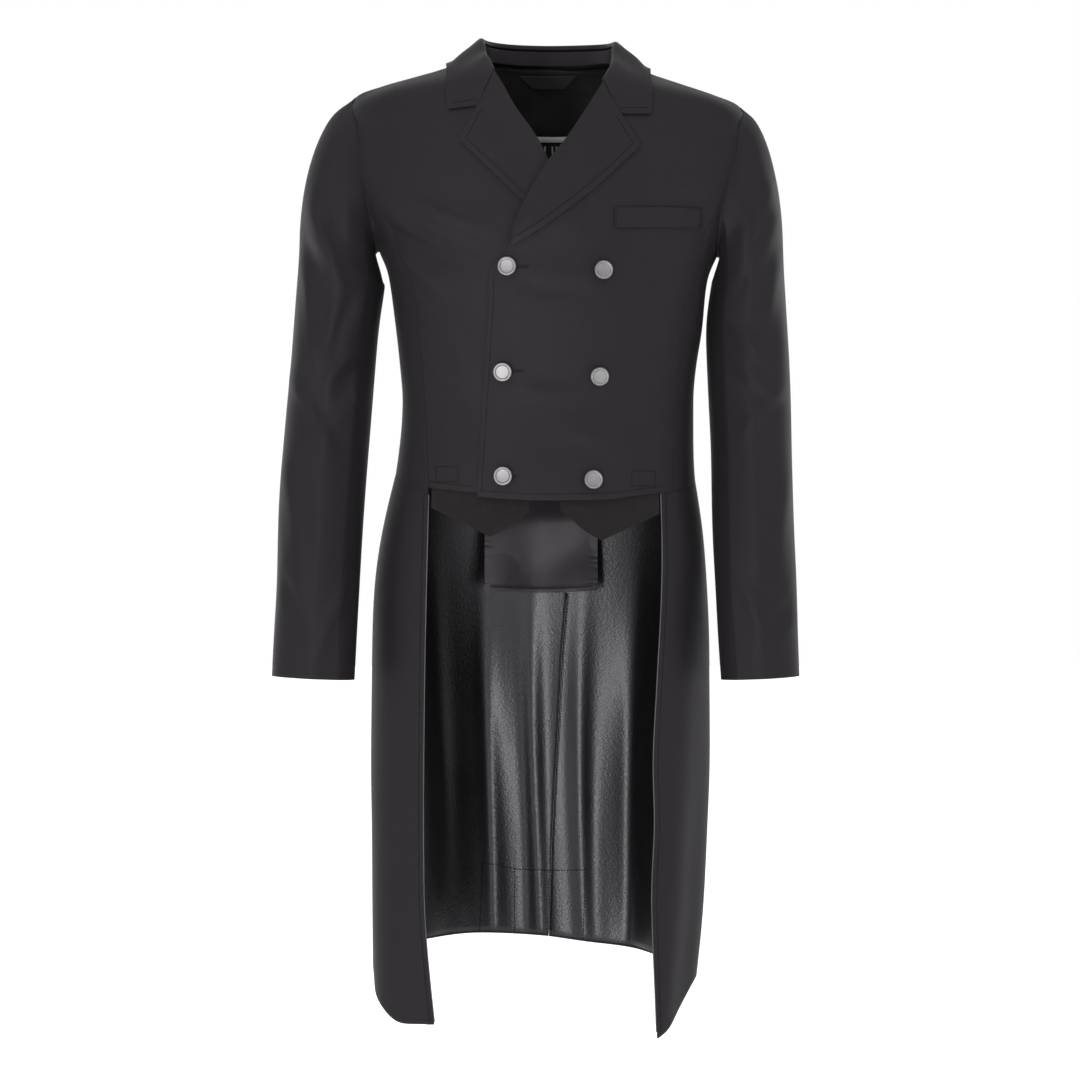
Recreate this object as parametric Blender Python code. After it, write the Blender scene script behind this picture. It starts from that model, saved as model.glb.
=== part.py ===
"""Tailcoat in its worn shape with no wearer: double-breasted front, notched collar, long lined tails.

Metres, +Z up, the front towards -Y, the wearer's left towards +X. The origin is at the base of the
neck, level with the shoulder line. Every cloth piece is a wall over one body surface, given by a
table of level rings, or over a sleeve tube, given by a table for each sleeve.
"""

import math

import bpy
import numpy as np

# Driving sizes
CLOTH = 0.0018
LAPEL_CLOTH = 0.0024
COLLAR_CLOTH = 0.0020
STAND_CLOTH = 0.0015
LINING_CLOTH = 0.0010
POINT_CLOTH = 0.0015
SEAM_INSET = 0.00022
LAY = 0.0009
LEAN = 0.026
LEAN_FULL, LEAN_FOOT = -0.10, -0.35
NECK_BACK_Z, NECK_SIDE_Z = 0.0180, 0.0125
SHOULDER_TIP_Z = -0.0310
ARMHOLE_FOOT_Z = -0.1970
BUTTON_RADIUS, BUTTON_HEIGHT, SHANK_RADIUS, SHANK_HEIGHT = 0.0102, 0.0042, 0.0036, 0.0030
BUTTON_SIDES, BUTTON_SEAT = 14, 0.0004
LEFT_FRONT_DROP = 0.004
LABEL_LAY, LABEL_CLOTH = 0.0022, 0.0005

# How finely each piece is divided
ARMHOLE_ROWS, PRINCESS_ROWS = 6, 13
FRONT_COLUMNS, SIDE_COLUMNS, BACK_COLUMNS, NECK_COLUMNS = 11, 6, 9, 5
CAP_ROWS, FRONT_SLEEVE_SEAM, HIND_SLEEVE_SEAM = 6, 7, 11
TAIL_ROWS, TAIL_COLUMNS = 10, 16
COLLAR_STATIONS = 24
LAPEL_COLUMNS, NOTCH_COLUMN = 6, 3
COLLAR_SHARES = (0.0, 0.15, 0.32, 0.50, 0.67, 0.84, 1.0)
LAPEL_ROWS, LABEL_ROWS, LABEL_COLUMNS = 12, 2, 8
POINT_ROWS, POINT_COLUMNS, FLAP_ROWS, FLAP_COLUMNS = 4, 7, 5, 12

# How the collar, the lapels and the sleeve heads stand off what they lie on
COLLAR_LAY, COLLAR_BULGE, COLLAR_EASE = 0.0012, 0.0060, 0.0012
COLLAR_LIP, COLLAR_LIP_DROP, COLLAR_LIP_REACH, COLLAR_CROWN = 0.0026, 0.0040, 0.18, 0.0012
STAND_RISE, STAND_SET, STAND_DROP, STAND_END = 0.0022, 0.0034, 0.0058, 0.15
LAPEL_ROLL, LAPEL_ROLL_WIDTH, LAPEL_ROLL_FADE = 0.0030, 0.22, 0.35
WELT_LAY = 0.0012
SLEEVE_CLEAR, UNDERARM_CLEAR, TIP_CLEAR = 0.0009, 0.0024, 0.0004

RIGHT, LEFT = -1, 1
FRONT, BACK = 1, -1

# Level rings of the body, from the neck to the tails
BODY_COLUMNS = ("z", "half_width", "front", "back", "square", "centre_x")
BODY = (
    (0.020, 0.066, 0.046, 0.083, 2.0, 0.000),
    (0.014, 0.082, 0.058, 0.086, 1.9, 0.000),
    (0.004, 0.108, 0.075, 0.092, 1.75, 0.000),
    (-0.012, 0.159, 0.088, 0.100, 1.65, 0.000),
    (-0.031, 0.2098, 0.096, 0.106, 1.65, 0.000),
    (-0.050, 0.2190, 0.101, 0.110, 1.75, 0.000),
    (-0.080, 0.2240, 0.108, 0.115, 1.9, 0.000),
    (-0.110, 0.2230, 0.114, 0.118, 2.0, 0.000),
    (-0.150, 0.2080, 0.121, 0.118, 2.1, 0.000),
    (-0.190, 0.1870, 0.126, 0.115, 2.2, 0.000),
    (-0.225, 0.1735, 0.126, 0.111, 2.25, 0.000),
    (-0.280, 0.1665, 0.121, 0.104, 2.25, 0.001),
    (-0.330, 0.1600, 0.114, 0.098, 2.25, 0.000),
    (-0.360, 0.1580, 0.111, 0.096, 2.25, 0.000),
    (-0.395, 0.1590, 0.111, 0.098, 2.25, -0.001),
    (-0.435, 0.1620, 0.114, 0.103, 2.2, -0.003),
    (-0.455, 0.1650, 0.115, 0.107, 2.15, -0.004),
    (-0.500, 0.1740, 0.116, 0.118, 2.1, -0.006),
    (-0.550, 0.1800, 0.115, 0.127, 2.05, -0.008),
    (-0.620, 0.1835, 0.112, 0.134, 2.0, -0.009),
    (-0.745, 0.1845, 0.107, 0.139, 2.0, -0.011),
    (-0.840, 0.1820, 0.104, 0.142, 2.0, -0.013),
    (-0.920, 0.1795, 0.101, 0.144, 2.0, -0.015),
    (-0.990, 0.1755, 0.098, 0.145, 2.0, -0.018),
    (-1.070, 0.1700, 0.094, 0.146, 2.0, -0.019),
)

# Waist seam and tail hem: height at each turn round the body, 0 at the front, 180 at the back
WAIST_COLUMNS = ("turn", "z")
WAIST = (
    (-180, -0.4360), (-120, -0.4340), (-90, -0.4385), (-60, -0.4510), (-30, -0.4600), (0, -0.4655),
    (30, -0.4640), (60, -0.4580), (90, -0.4450), (120, -0.4380), (180, -0.4360),
)
HEM_COLUMNS = ("turn", "z")
HEM = (
    (-180, -0.9620), (-150, -0.9600), (-120, -0.9680), (-90, -0.9900), (-70, -1.0120), (-52, -1.0340),
    (-36, -1.0330), (0, -1.0300), (36, -1.0560), (52, -1.0500), (70, -1.0220), (90, -0.9920),
    (120, -0.9800), (150, -0.9720), (180, -0.9620),
)

# Seams on the front, as seen from the front: height, then the wearer's right and left x
EDGE_COLUMNS = ("z", "right_x", "left_x")
FRONT_EDGE = (
    (-0.2010, 0.0430, -0.0417), (-0.2085, 0.0520, -0.0535), (-0.2190, 0.0580, -0.0597),
    (-0.2820, 0.0610, -0.0640), (-0.3620, 0.0640, -0.0690), (-0.4200, 0.0660, -0.0725),
    (-0.4700, 0.0670, -0.0758),
)
PRINCESS = (
    (-0.1320, -0.1971, 0.1905), (-0.1560, -0.1785, 0.1808), (-0.1870, -0.1626, 0.1655),
    (-0.2280, -0.1462, 0.1532), (-0.2700, -0.1390, 0.1428), (-0.3400, -0.1335, 0.1375),
    (-0.4550, -0.1271, 0.1321),
)
SIDE_BACK_COLUMNS = ("z", "turn")
SIDE_BACK = ((-0.125, 117), (-0.170, 126), (-0.230, 133), (-0.330, 138), (-0.440, 139))
TAIL_EDGE = (
    (-0.4550, -0.1285, 0.1212), (-0.5370, -0.1305, 0.1229), (-0.6240, -0.1325, 0.1192),
    (-0.7000, -0.1336, 0.1150), (-0.7540, -0.1342, 0.1127), (-0.8340, -0.1346, 0.1142),
    (-0.8930, -0.1335, 0.1106), (-0.9460, -0.1320, 0.1120), (-0.9900, -0.1265, 0.1135),
    (-1.0600, -0.1200, 0.1160),
)
CENTRE_BACK_COLUMNS = ("z", "x")
CENTRE_BACK = ((0.020, 0.000), (-0.200, 0.004), (-0.450, 0.018), (-0.573, 0.0219), (-0.636, 0.0167),
               (-0.810, 0.0072), (-0.963, 0.0015))

# Roll line and lapel edge of each side, x and z from the gorge to the foot
ROLL = {
    RIGHT: ((-0.0564, -0.0111), (-0.0465, -0.0272), (-0.0349, -0.0490), (-0.0120, -0.0831),
            (0.0004, -0.1071), (0.0215, -0.1470), (0.0350, -0.1800), (0.0430, -0.2010)),
    LEFT: ((0.0574, -0.0225), (0.0373, -0.0557), (0.0176, -0.0864), (0.0012, -0.1088),
           (-0.0216, -0.1474), (-0.0325, -0.1717), (-0.0417, -0.2010)),
}
LAPEL_ROLL_SHARE = {RIGHT: 0.72, LEFT: 0.955}
LAPEL_EDGE = {
    RIGHT: ((-0.0951, -0.0841), (-0.0640, -0.1150), (-0.0240, -0.1539), (0.0060, -0.1800)),
    LEFT: ((0.0984, -0.0900), (0.0534, -0.1338), (0.0077, -0.1717), (-0.0200, -0.1895),
           (-0.0380, -0.1990)),
}
COLLAR_CORNER = {RIGHT: (-0.1062, -0.0504), LEFT: (0.1100, -0.0555)}
NECKLINE = {
    RIGHT: ((-0.0800, 0.0080), (-0.0700, 0.0000), (-0.0564, -0.0111)),
    LEFT: ((0.0800, 0.0060), (0.0700, -0.0060), (0.0574, -0.0225)),
}

# Collar, from the wearer's right gorge round the back to the left one
COLLAR_COLUMNS = ("fold_x", "fold_y", "fold_z", "edge_x", "edge_z", "seam_x", "seam_z", "face")
COLLAR = (
    (-0.0564, -0.0800, -0.0111, -0.1062, -0.0504, -0.0564, -0.0111, FRONT),
    (-0.0654, -0.0430, 0.0060, -0.1085, -0.0260, -0.0690, -0.0010, FRONT),
    (-0.0730, -0.0110, 0.0320, -0.1090, -0.0010, -0.0790, 0.0085, FRONT),
    (-0.0740, 0.0180, 0.0412, -0.1065, 0.0000, -0.0800, 0.0150, BACK),
    (-0.0650, 0.0520, 0.0425, -0.0950, -0.0080, -0.0660, 0.0175, BACK),
    (-0.0370, 0.0780, 0.0430, -0.0570, -0.0125, -0.0390, 0.0185, BACK),
    (0.0010, 0.0870, 0.0432, 0.0000, -0.0135, 0.0000, 0.0190, BACK),
    (0.0385, 0.0780, 0.0425, 0.0570, -0.0135, 0.0390, 0.0175, BACK),
    (0.0660, 0.0520, 0.0400, 0.0950, -0.0110, 0.0660, 0.0155, BACK),
    (0.0748, 0.0180, 0.0375, 0.1075, -0.0040, 0.0800, 0.0110, BACK),
    (0.0742, -0.0110, 0.0290, 0.1095, -0.0060, 0.0790, 0.0060, FRONT),
    (0.0690, -0.0480, 0.0000, 0.1100, -0.0310, 0.0690, -0.0080, FRONT),
    (0.0574, -0.0800, -0.0225, 0.1100, -0.0555, 0.0574, -0.0225, FRONT),
)

# Armhole loops: turn round the body and height, from the shoulder tip down the front and up the back
ARMHOLE_COLUMNS = ("x", "z", "face")
ARMHOLE = {
    RIGHT: ((-0.2078, -0.0550, FRONT), (-0.2050, -0.0850, FRONT), (-0.1971, -0.1320, FRONT),
            (-0.1890, -0.1650, FRONT), (-0.1840, -0.1880, FRONT), (-0.1840, -0.1900, BACK),
            (-0.1880, -0.1600, BACK), (-0.1985, -0.1200, BACK), (-0.2080, -0.0650, BACK)),
    LEFT: ((0.2078, -0.0560, FRONT), (0.2040, -0.0850, FRONT), (0.1905, -0.1320, FRONT),
           (0.1830, -0.1650, FRONT), (0.1825, -0.1890, FRONT), (0.1840, -0.1900, BACK),
           (0.1880, -0.1600, BACK), (0.1985, -0.1200, BACK), (0.2080, -0.0650, BACK)),
}
PRINCESS_KNOT, SIDE_BACK_KNOT = 3, 9

# Sleeves: each ring's height at its middle, outer and inner x, middle y and half depth
SLEEVE_COLUMNS = ("z", "outer_x", "inner_x", "centre_y", "half_depth")
SLEEVE = {
    RIGHT: ((-0.2180, -0.2740, -0.1800, 0.0020, 0.0650), (-0.2600, -0.2775, -0.1850, 0.0000, 0.0620),
            (-0.3100, -0.2815, -0.1890, -0.0030, 0.0590), (-0.3600, -0.2860, -0.1928, -0.0070, 0.0565),
            (-0.4100, -0.2900, -0.1965, -0.0130, 0.0545), (-0.4600, -0.2935, -0.2000, -0.0200, 0.0525),
            (-0.5100, -0.2950, -0.2030, -0.0270, 0.0505), (-0.5600, -0.2955, -0.2055, -0.0330, 0.0485),
            (-0.6100, -0.2980, -0.2080, -0.0380, 0.0465), (-0.6610, -0.3003, -0.2104, -0.0420, 0.0450)),
    LEFT: ((-0.2180, 0.2590, 0.1795, 0.0020, 0.0650), (-0.2600, 0.2615, 0.1745, 0.0000, 0.0620),
           (-0.3100, 0.2645, 0.1745, -0.0030, 0.0590), (-0.3600, 0.2665, 0.1765, -0.0070, 0.0565),
           (-0.4100, 0.2670, 0.1785, -0.0130, 0.0545), (-0.4600, 0.2678, 0.1790, -0.0200, 0.0525),
           (-0.5100, 0.2690, 0.1800, -0.0270, 0.0505), (-0.5600, 0.2708, 0.1825, -0.0330, 0.0485),
           (-0.6100, 0.2718, 0.1848, -0.0380, 0.0465), (-0.6610, 0.2733, 0.1880, -0.0420, 0.0450)),
}
SLEEVE_TILT, CUFF_TILT = 0.38, 0.05

# The sleeve head's curve: how far it leaves the armhole outwards, and how long it drops into the arm
CAP_REACH, SIDE_REACH, UNDERARM_REACH = {RIGHT: 0.155, LEFT: 0.105}, 0.050, 0.012
CAP_DROP, CAP_DROP_CHANGE, CAP_SLOPE, CAP_SWING = 0.090, 0.060, 0.45, 0.02

# Largest folds, each a soft ridge or trough on one face: x0, z0, x1, z1, width, height, face
FOLDS = (
    (-0.190, -0.140, -0.080, -0.190, 0.017, 0.0050, FRONT),
    (-0.186, -0.172, -0.090, -0.222, 0.014, -0.0035, FRONT),
    (-0.170, -0.205, -0.085, -0.250, 0.018, 0.0035, FRONT),
    (0.185, -0.110, 0.090, -0.150, 0.016, 0.0030, FRONT),
    (0.165, -0.215, 0.100, -0.265, 0.018, 0.0030, FRONT),
    (-0.262, -0.150, -0.226, -0.225, 0.014, 0.0050, FRONT),
    (-0.268, -0.170, -0.240, -0.290, 0.013, -0.0040, FRONT),
    (-0.278, -0.290, -0.215, -0.350, 0.016, 0.0045, FRONT),
    (-0.205, -0.300, -0.262, -0.385, 0.015, -0.0040, FRONT),
    (-0.290, -0.560, -0.235, -0.610, 0.015, 0.0040, FRONT),
    (-0.215, -0.570, -0.262, -0.630, 0.015, -0.0035, FRONT),
    (0.248, -0.130, 0.205, -0.210, 0.015, 0.0045, FRONT),
    (0.256, -0.200, 0.205, -0.275, 0.015, -0.0035, FRONT),
    (0.262, -0.300, 0.198, -0.345, 0.016, 0.0040, FRONT),
    (0.190, -0.560, 0.255, -0.600, 0.016, 0.0035, FRONT),
    (-0.240, -0.130, -0.220, -0.240, 0.016, 0.0045, BACK),
    (0.236, -0.130, 0.215, -0.240, 0.016, 0.0045, BACK),
    (-0.285, -0.330, -0.215, -0.360, 0.016, -0.0045, BACK),
    (0.262, -0.330, 0.195, -0.360, 0.016, -0.0045, BACK),
    (-0.150, -0.180, -0.080, -0.260, 0.020, 0.0040, BACK),
    (0.150, -0.180, 0.080, -0.260, 0.020, 0.0040, BACK),
)

# Flutes of the tails: turn, spread and height at the hem; inwards where negative
FLUTES = (
    (-62, 11, 0.0040), (-88, 11, -0.0040), (-112, 12, 0.0060), (-140, 12, -0.0075), (-161, 10, 0.0050),
    (-178, 9, -0.0060), (162, 10, -0.0075), (144, 9, 0.0060), (122, 11, -0.0070), (98, 12, 0.0060),
    (72, 11, -0.0035), (52, 10, 0.0035),
)
FLUTE_TOP, FLUTE_FULL = -0.47, -0.90

# Lift of the left front over the right one and over the right lapel
LAP_COLUMNS = ("z", "lift")
LAP = ((-0.470, 0.0027), (-0.240, 0.0027), (-0.205, 0.0034), (-0.180, 0.0063), (-0.105, 0.0063),
       (-0.080, 0.0040), (-0.050, 0.0))
LAP_MARGIN, LAP_FADE = 0.006, 0.035

BUTTONS = ((-0.0427, -0.2212), (0.0571, -0.2248), (-0.0472, -0.3316), (0.0531, -0.3362),
           (-0.0468, -0.4439), (0.0465, -0.4473))
WELT = ((0.0701, -0.1584), (0.1643, -0.1544), (0.1618, -0.1756), (0.0695, -0.1799))
LABEL = ((-0.0335, 0.0125), (0.0335, 0.0125), (0.0200, -0.0010), (-0.0172, -0.0010))
WAIST_POINT_COLUMNS = ("x", "top_z", "foot_z")
WAIST_POINT = {
    RIGHT: ((-0.1260, -0.4300, -0.4771), (-0.1053, -0.4340, -0.4868), (-0.0800, -0.4380, -0.4990),
            (-0.0600, -0.4400, -0.5094), (-0.0400, -0.4400, -0.4962), (-0.0205, -0.4400, -0.4810)),
    LEFT: ((0.0128, -0.4400, -0.4800), (0.0330, -0.4400, -0.4965), (0.0541, -0.4400, -0.5136),
           (0.0800, -0.4380, -0.5019), (0.1000, -0.4340, -0.4925), (0.1200, -0.4300, -0.4835)),
}
FLAP_TOP_Z, FLAP_FOOT_Z, FLAP_LEFT_X, FLAP_RIGHT_X = -0.4310, -0.5680, 0.0570, -0.0720
FLAP_LAY, FLAP_SAG, FLAP_SWAY, FLAP_WAVES = 0.0022, 0.003, 0.0035, 1.5
FACING_ROWS, LINING_LAY = 3, 0.0016
LINING_SHORT, LINING_NARROW, TAIL_CLEAR = 0.010, 0.8, 0.0003
TAIL_START_Z, TAIL_END_Z = -0.45, -1.00
NUDGE, LARGEST_MOVE = 0.0005, 0.004


def column(rows, columns, name):
    """One named column of a table, as an array."""
    return np.array([row[columns.index(name)] for row in rows], float)


def smooth(knots, values, at):
    """Reads a curve through the knots that never overshoots them."""
    knots, values, at = np.asarray(knots, float), np.asarray(values, float), np.asarray(at, float)
    if knots[0] > knots[-1]:
        knots, values = knots[::-1], values[::-1]
    steps = np.diff(knots)
    rises = np.diff(values) / steps
    slopes = np.concatenate([rises[:1], np.zeros(len(knots) - 2), rises[-1:]])
    for i in range(1, len(knots) - 1):
        if rises[i - 1] * rises[i] > 0:
            slopes[i] = 2 * rises[i - 1] * rises[i] / (rises[i - 1] + rises[i])
    cell = np.clip(np.searchsorted(knots, at) - 1, 0, len(steps) - 1)
    t = np.clip((at - knots[cell]) / steps[cell], 0.0, 1.0)
    a, b = values[cell], values[cell + 1]
    p, q = slopes[cell] * steps[cell], slopes[cell + 1] * steps[cell]
    return a + t * (p + t * (3 * (b - a) - 2 * p - q + t * (2 * (a - b) + p + q)))


def ramp(value, start, end):
    """A soft step from 0 at start to 1 at end."""
    t = np.clip((np.asarray(value, float) - start) / (end - start), 0.0, 1.0)
    return t * t * (3 - 2 * t)


def through(points, shares):
    """Points at these shares of the length of a smooth curve through the given points."""
    points = np.asarray(points, float)
    run = np.concatenate([[0], np.cumsum(np.linalg.norm(np.diff(points, axis=0), axis=1))])
    return np.stack([smooth(run / run[-1], axis, shares) for axis in points.T], axis=-1)


def even(count):
    """Shares from 0 to 1 in this many equal steps."""
    return np.linspace(0.0, 1.0, count + 1)


def ring(name, z):
    """One size of the body's level ring at these heights."""
    return smooth(column(BODY, BODY_COLUMNS, "z"), column(BODY, BODY_COLUMNS, name), z)


def lean(x, z):
    """How far the upper body sinks on the wearer's left and rises on the right."""
    return LEAN * np.asarray(x, float) * ramp(z, LEAN_FOOT, LEAN_FULL)


def turn_of(x, z, face):
    """Turn round the body of the point seen at x, z, and its height before the lean."""
    level = z + lean(x, z)
    share = (x - ring("centre_x", level)) / ring("half_width", level)
    turn = np.arcsin(np.clip(np.abs(share), 0.0, 1.0) ** (ring("square", level) / 2))
    turn = np.where(np.asarray(face) == FRONT, turn, math.pi - turn)
    return np.where(share < 0, -turn, turn), level


def body(turn, level):
    """The plain body surface, with no fold, flute or lean."""
    reach = 2 / ring("square", level)
    x = ring("half_width", level) * np.sign(np.sin(turn)) * np.abs(np.sin(turn)) ** reach
    depth = np.where(np.cos(turn) > 0, -ring("front", level), ring("back", level))
    y = depth * np.abs(np.cos(turn)) ** reach
    return np.stack([x + ring("centre_x", level), y, level + 0 * x], axis=-1)


def body_normal(turn, level):
    """Outward normal of the plain body surface."""
    d_turn, d_level = 0.012, 0.002
    across = body(turn + d_turn, level) - body(turn - d_turn, level)
    down = body(turn, level - d_level) - body(turn, level + d_level)
    normal = np.cross(across, down)
    normal /= np.maximum(np.linalg.norm(normal, axis=-1, keepdims=True), 1e-12)
    outward = np.stack([np.sin(turn), -np.cos(turn), 0 * turn], axis=-1)
    return normal * np.sign((normal * outward).sum(-1, keepdims=True) + 1e-9)


def fold_height(points, normals):
    """Height of the folds at these points, counted on the face that the normal looks to."""
    height = np.zeros(points.shape[:-1])
    for x0, z0, x1, z1, width, rise, face in FOLDS:
        along = np.array([x1 - x0, z1 - z0])
        length = np.linalg.norm(along)
        along = along / length
        from_start = points[..., [0, 2]] - np.array([x0, z0])
        run = from_start @ along
        off = from_start @ np.array([-along[1], along[0]])
        ends = ramp(run, -0.2 * length, 0.25 * length) * ramp(run, 1.25 * length, 0.7 * length)
        facing = ramp(-face * normals[..., 1], 0.05, 0.45)
        height += rise * np.exp(-((off / width) ** 2)) * ends * facing
    return height


def flute_height(turn, level):
    """Height of the tails' flutes, growing from the waist to the hem."""
    height = 0.0
    for at, spread, rise in FLUTES:
        apart = (np.degrees(turn) - at + 180) % 360 - 180
        height = height + rise * np.exp(-((apart / spread) ** 2))
    return height * ramp(level, FLUTE_TOP, FLUTE_FULL)


def skin(turn, level, out):
    """A point of the coat: the body surface with its folds and flutes, moved out, then leant."""
    turn, level = np.broadcast_arrays(np.asarray(turn, float), np.asarray(level, float))
    base, normal = body(turn, level), body_normal(turn, level)
    rise = fold_height(base, normal) + flute_height(turn, level) + out
    moved = base + normal * rise[..., None]
    moved[..., 2] -= lean(moved[..., 0], moved[..., 2])
    return moved


def seen(x, z, out, face=FRONT):
    """The coat's point seen at x, z on one face."""
    return skin(*turn_of(np.asarray(x, float), np.asarray(z, float), face), out)


def gauge(points):
    """1 on the plain body surface, less inside it and more outside."""
    level = points[..., 2] + lean(points[..., 0], points[..., 2])
    power = ring("square", level)
    depth = np.where(points[..., 1] < 0, ring("front", level), ring("back", level))
    x = np.abs(points[..., 0] - ring("centre_x", level)) / ring("half_width", level)
    return (x**power + (np.abs(points[..., 1]) / depth) ** power) ** (1 / power)


def kept_off_body(points, lift):
    """The points, each moved out to at least its lift from the body surface."""
    points = points.copy()
    top = BODY[0][0]
    for _ in range(4):
        value = gauge(points)
        slope = np.stack([gauge(points + s) - gauge(points - s) for s in np.eye(3) * NUDGE], axis=-1)
        slope /= 2 * NUDGE
        size = np.maximum(np.linalg.norm(slope, axis=-1), 1e-6)
        short = np.maximum(lift - (value - 1) / size, 0) * (points[..., 2] < top)
        points += slope / size[..., None] * np.minimum(short, LARGEST_MOVE)[..., None]
    return points


def grid_normals(grid, closed=False):
    """Normals of a grid of points: down the rows, then along the columns."""
    if closed:
        across = np.roll(grid, -1, axis=1) - np.roll(grid, 1, axis=1)
    else:
        across = np.gradient(grid, axis=1)
    down = np.gradient(grid, axis=0)
    normal = np.cross(across, down)
    return normal / np.maximum(np.linalg.norm(normal, axis=-1, keepdims=True), 1e-12)


def inset(grid, rows=(True, True), columns=(True, True), by=SEAM_INSET):
    """The grid with its sewn borders drawn in, so that neighbours stay apart."""
    grid = grid.copy()
    for axis, wanted in ((0, rows), (1, columns)):
        view = np.moveaxis(grid, axis, 0)
        for wanted_side, edge, inner in ((wanted[0], 0, 1), (wanted[1], -1, -2)):
            if wanted_side:
                way = view[inner] - view[edge]
                view[edge] += by * way / np.maximum(np.linalg.norm(way, axis=-1, keepdims=True), 1e-9)
    return grid


def paint(obj, colour, rough, metal=0.0):
    """The object's own material."""
    material = bpy.data.materials.new(obj.name + "_finish")
    material.use_nodes = True
    shader = material.node_tree.nodes["Principled BSDF"]
    shader.inputs["Base Color"].default_value = (*colour, 1.0)
    shader.inputs["Roughness"].default_value = rough
    shader.inputs["Metallic"].default_value = metal
    obj.data.materials.append(material)


def place(name, points, faces, finish):
    """A named object from points and faces, with its own material."""
    mesh = bpy.data.meshes.new(name)
    mesh.from_pydata([tuple(map(float, p)) for p in points], [], [tuple(map(int, f)) for f in faces])
    mesh.validate()
    obj = bpy.data.objects.new(name, mesh)
    bpy.context.scene.collection.objects.link(obj)
    mesh.shade_smooth()
    mesh.set_sharp_from_angle(angle=math.radians(50))
    paint(obj, *finish)


def facing_out(points, faces):
    """The faces, all turned over if they enclose a negative volume."""
    volume = 0.0
    for face in faces:
        for b, c in zip(face[1:-1], face[2:]):
            volume += np.dot(points[face[0]], np.cross(points[b], points[c]))
    return faces if volume > 0 else [face[::-1] for face in faces]


def wall(name, near, far, finish):
    """A closed wall between two grids of the same size; far is the outer side."""
    rows, columns = near.shape[:2]
    index = np.arange(rows * columns).reshape(rows, columns)
    count = rows * columns
    faces = []
    for i in range(rows - 1):
        for j in range(columns - 1):
            a, b, c, d = index[i, j], index[i, j + 1], index[i + 1, j + 1], index[i + 1, j]
            faces.append((a + count, d + count, c + count, b + count))
            faces.append((a, b, c, d))
    rim = list(index[0, :-1]) + list(index[:-1, -1]) + list(index[-1, :0:-1]) + list(index[:0:-1, 0])
    for a, b in zip(rim, rim[1:] + rim[:1]):
        faces.append((b, a, a + count, b + count))
    points = np.concatenate([near.reshape(-1, 3), far.reshape(-1, 3)])
    place(name, points, facing_out(points, faces), finish)


BLACK_TWILL = ((0.028, 0.026, 0.030), 0.82)
BLACK_LINING = ((0.010, 0.010, 0.011), 0.60)
LEATHER_LINING = ((0.012, 0.012, 0.013), 0.32)
FELT = ((0.018, 0.016, 0.017), 0.95)
SATIN = ((0.040, 0.038, 0.042), 0.35)
PEWTER = ((0.42, 0.42, 0.43), 0.28, 1.0)


def panel(name, turn, level, out, thick, finish, rows=(True, True), columns=(True, True)):
    """A wall over the coat's surface, between out and out + thick."""
    near, far = skin(turn, level, out), skin(turn, level, out + thick)
    return wall(name, inset(near, rows, columns), inset(far, rows, columns), finish)


def rows_between(inner, outer, columns):
    """A grid of turn and level, ruled between two borders with the same number of rows."""
    share = even(columns)[None, :]
    turn = inner[0][:, None] * (1 - share) + outer[0][:, None] * share
    level = inner[1][:, None] * (1 - share) + outer[1][:, None] * share
    return turn, level


def armhole(side, knots):
    """Turn and level of the armhole at these knots of its loop, 0 at the shoulder tip."""
    rows = ARMHOLE[side]
    turn, level = turn_of(*(column(rows, ARMHOLE_COLUMNS, name) for name in ARMHOLE_COLUMNS))
    tip = side * math.pi / 2
    foot = [row[2] for row in rows].index(BACK)
    turn = np.concatenate([[tip], turn[:foot], [tip * 1.01], turn[foot:], [tip]])
    top = [SHOULDER_TIP_Z]
    level = np.concatenate([top, level[:foot], [ARMHOLE_FOOT_Z], level[foot:], top])
    order = np.arange(len(turn))
    return smooth(order, turn, knots), smooth(order, level, knots)


ARMHOLE_KNOTS = len(ARMHOLE[RIGHT]) + 2


def round_height(rows, columns, turn):
    """Height of the waist seam or the hem at a turn round the body."""
    wrapped = (np.degrees(turn) + 180) % 360 - 180
    return smooth(*(column(rows, columns, name) for name in columns), wrapped)


def waist(turn):
    """Height of the waist seam at this turn."""
    return round_height(WAIST, WAIST_COLUMNS, turn)


def centre_back(z):
    """Where the centre-back seam runs at these heights, seen from the front."""
    return smooth(*(column(CENTRE_BACK, CENTRE_BACK_COLUMNS, name) for name in CENTRE_BACK_COLUMNS), z)


def seam_line(rows, name, face, levels):
    """A seam drawn from the front, read at these heights."""
    x = smooth(column(rows, EDGE_COLUMNS, "z"), column(rows, EDGE_COLUMNS, name), levels)
    return turn_of(x, levels, face)


def side_word(side):
    """The side in a node's name."""
    return "left" if side == LEFT else "right"


def side_name(side):
    """The side's column in a seam table."""
    return side_word(side) + "_x"


def princess_border(side):
    """Armhole, then princess seam down to the waist, with the panels' shared rows."""
    top_turn, top_level = armhole(side, np.linspace(0, PRINCESS_KNOT, ARMHOLE_ROWS + 1))
    z = np.linspace(PRINCESS[0][0], PRINCESS[-1][0], PRINCESS_ROWS + 1)[1:]
    turn, level = seam_line(PRINCESS, side_name(side), FRONT, z)
    turn, level = np.concatenate([top_turn, turn]), np.concatenate([top_level, level])
    level[-1] = waist(turn[-1])
    return turn, level


def side_back_border(side):
    """The side-back seam from the armhole to the waist."""
    start_turn, start_level = armhole(side, np.array([SIDE_BACK_KNOT]))
    z = np.linspace(start_level[0], SIDE_BACK[-1][0], PRINCESS_ROWS + 1)[1:]
    knots, turns = (column(SIDE_BACK, SIDE_BACK_COLUMNS, name) for name in SIDE_BACK_COLUMNS)
    turn = side * np.radians(smooth(knots, turns, z))
    turn, level = np.concatenate([start_turn, turn]), np.concatenate([start_level, z])
    level[-1] = waist(turn[-1])
    return turn, level


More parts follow.
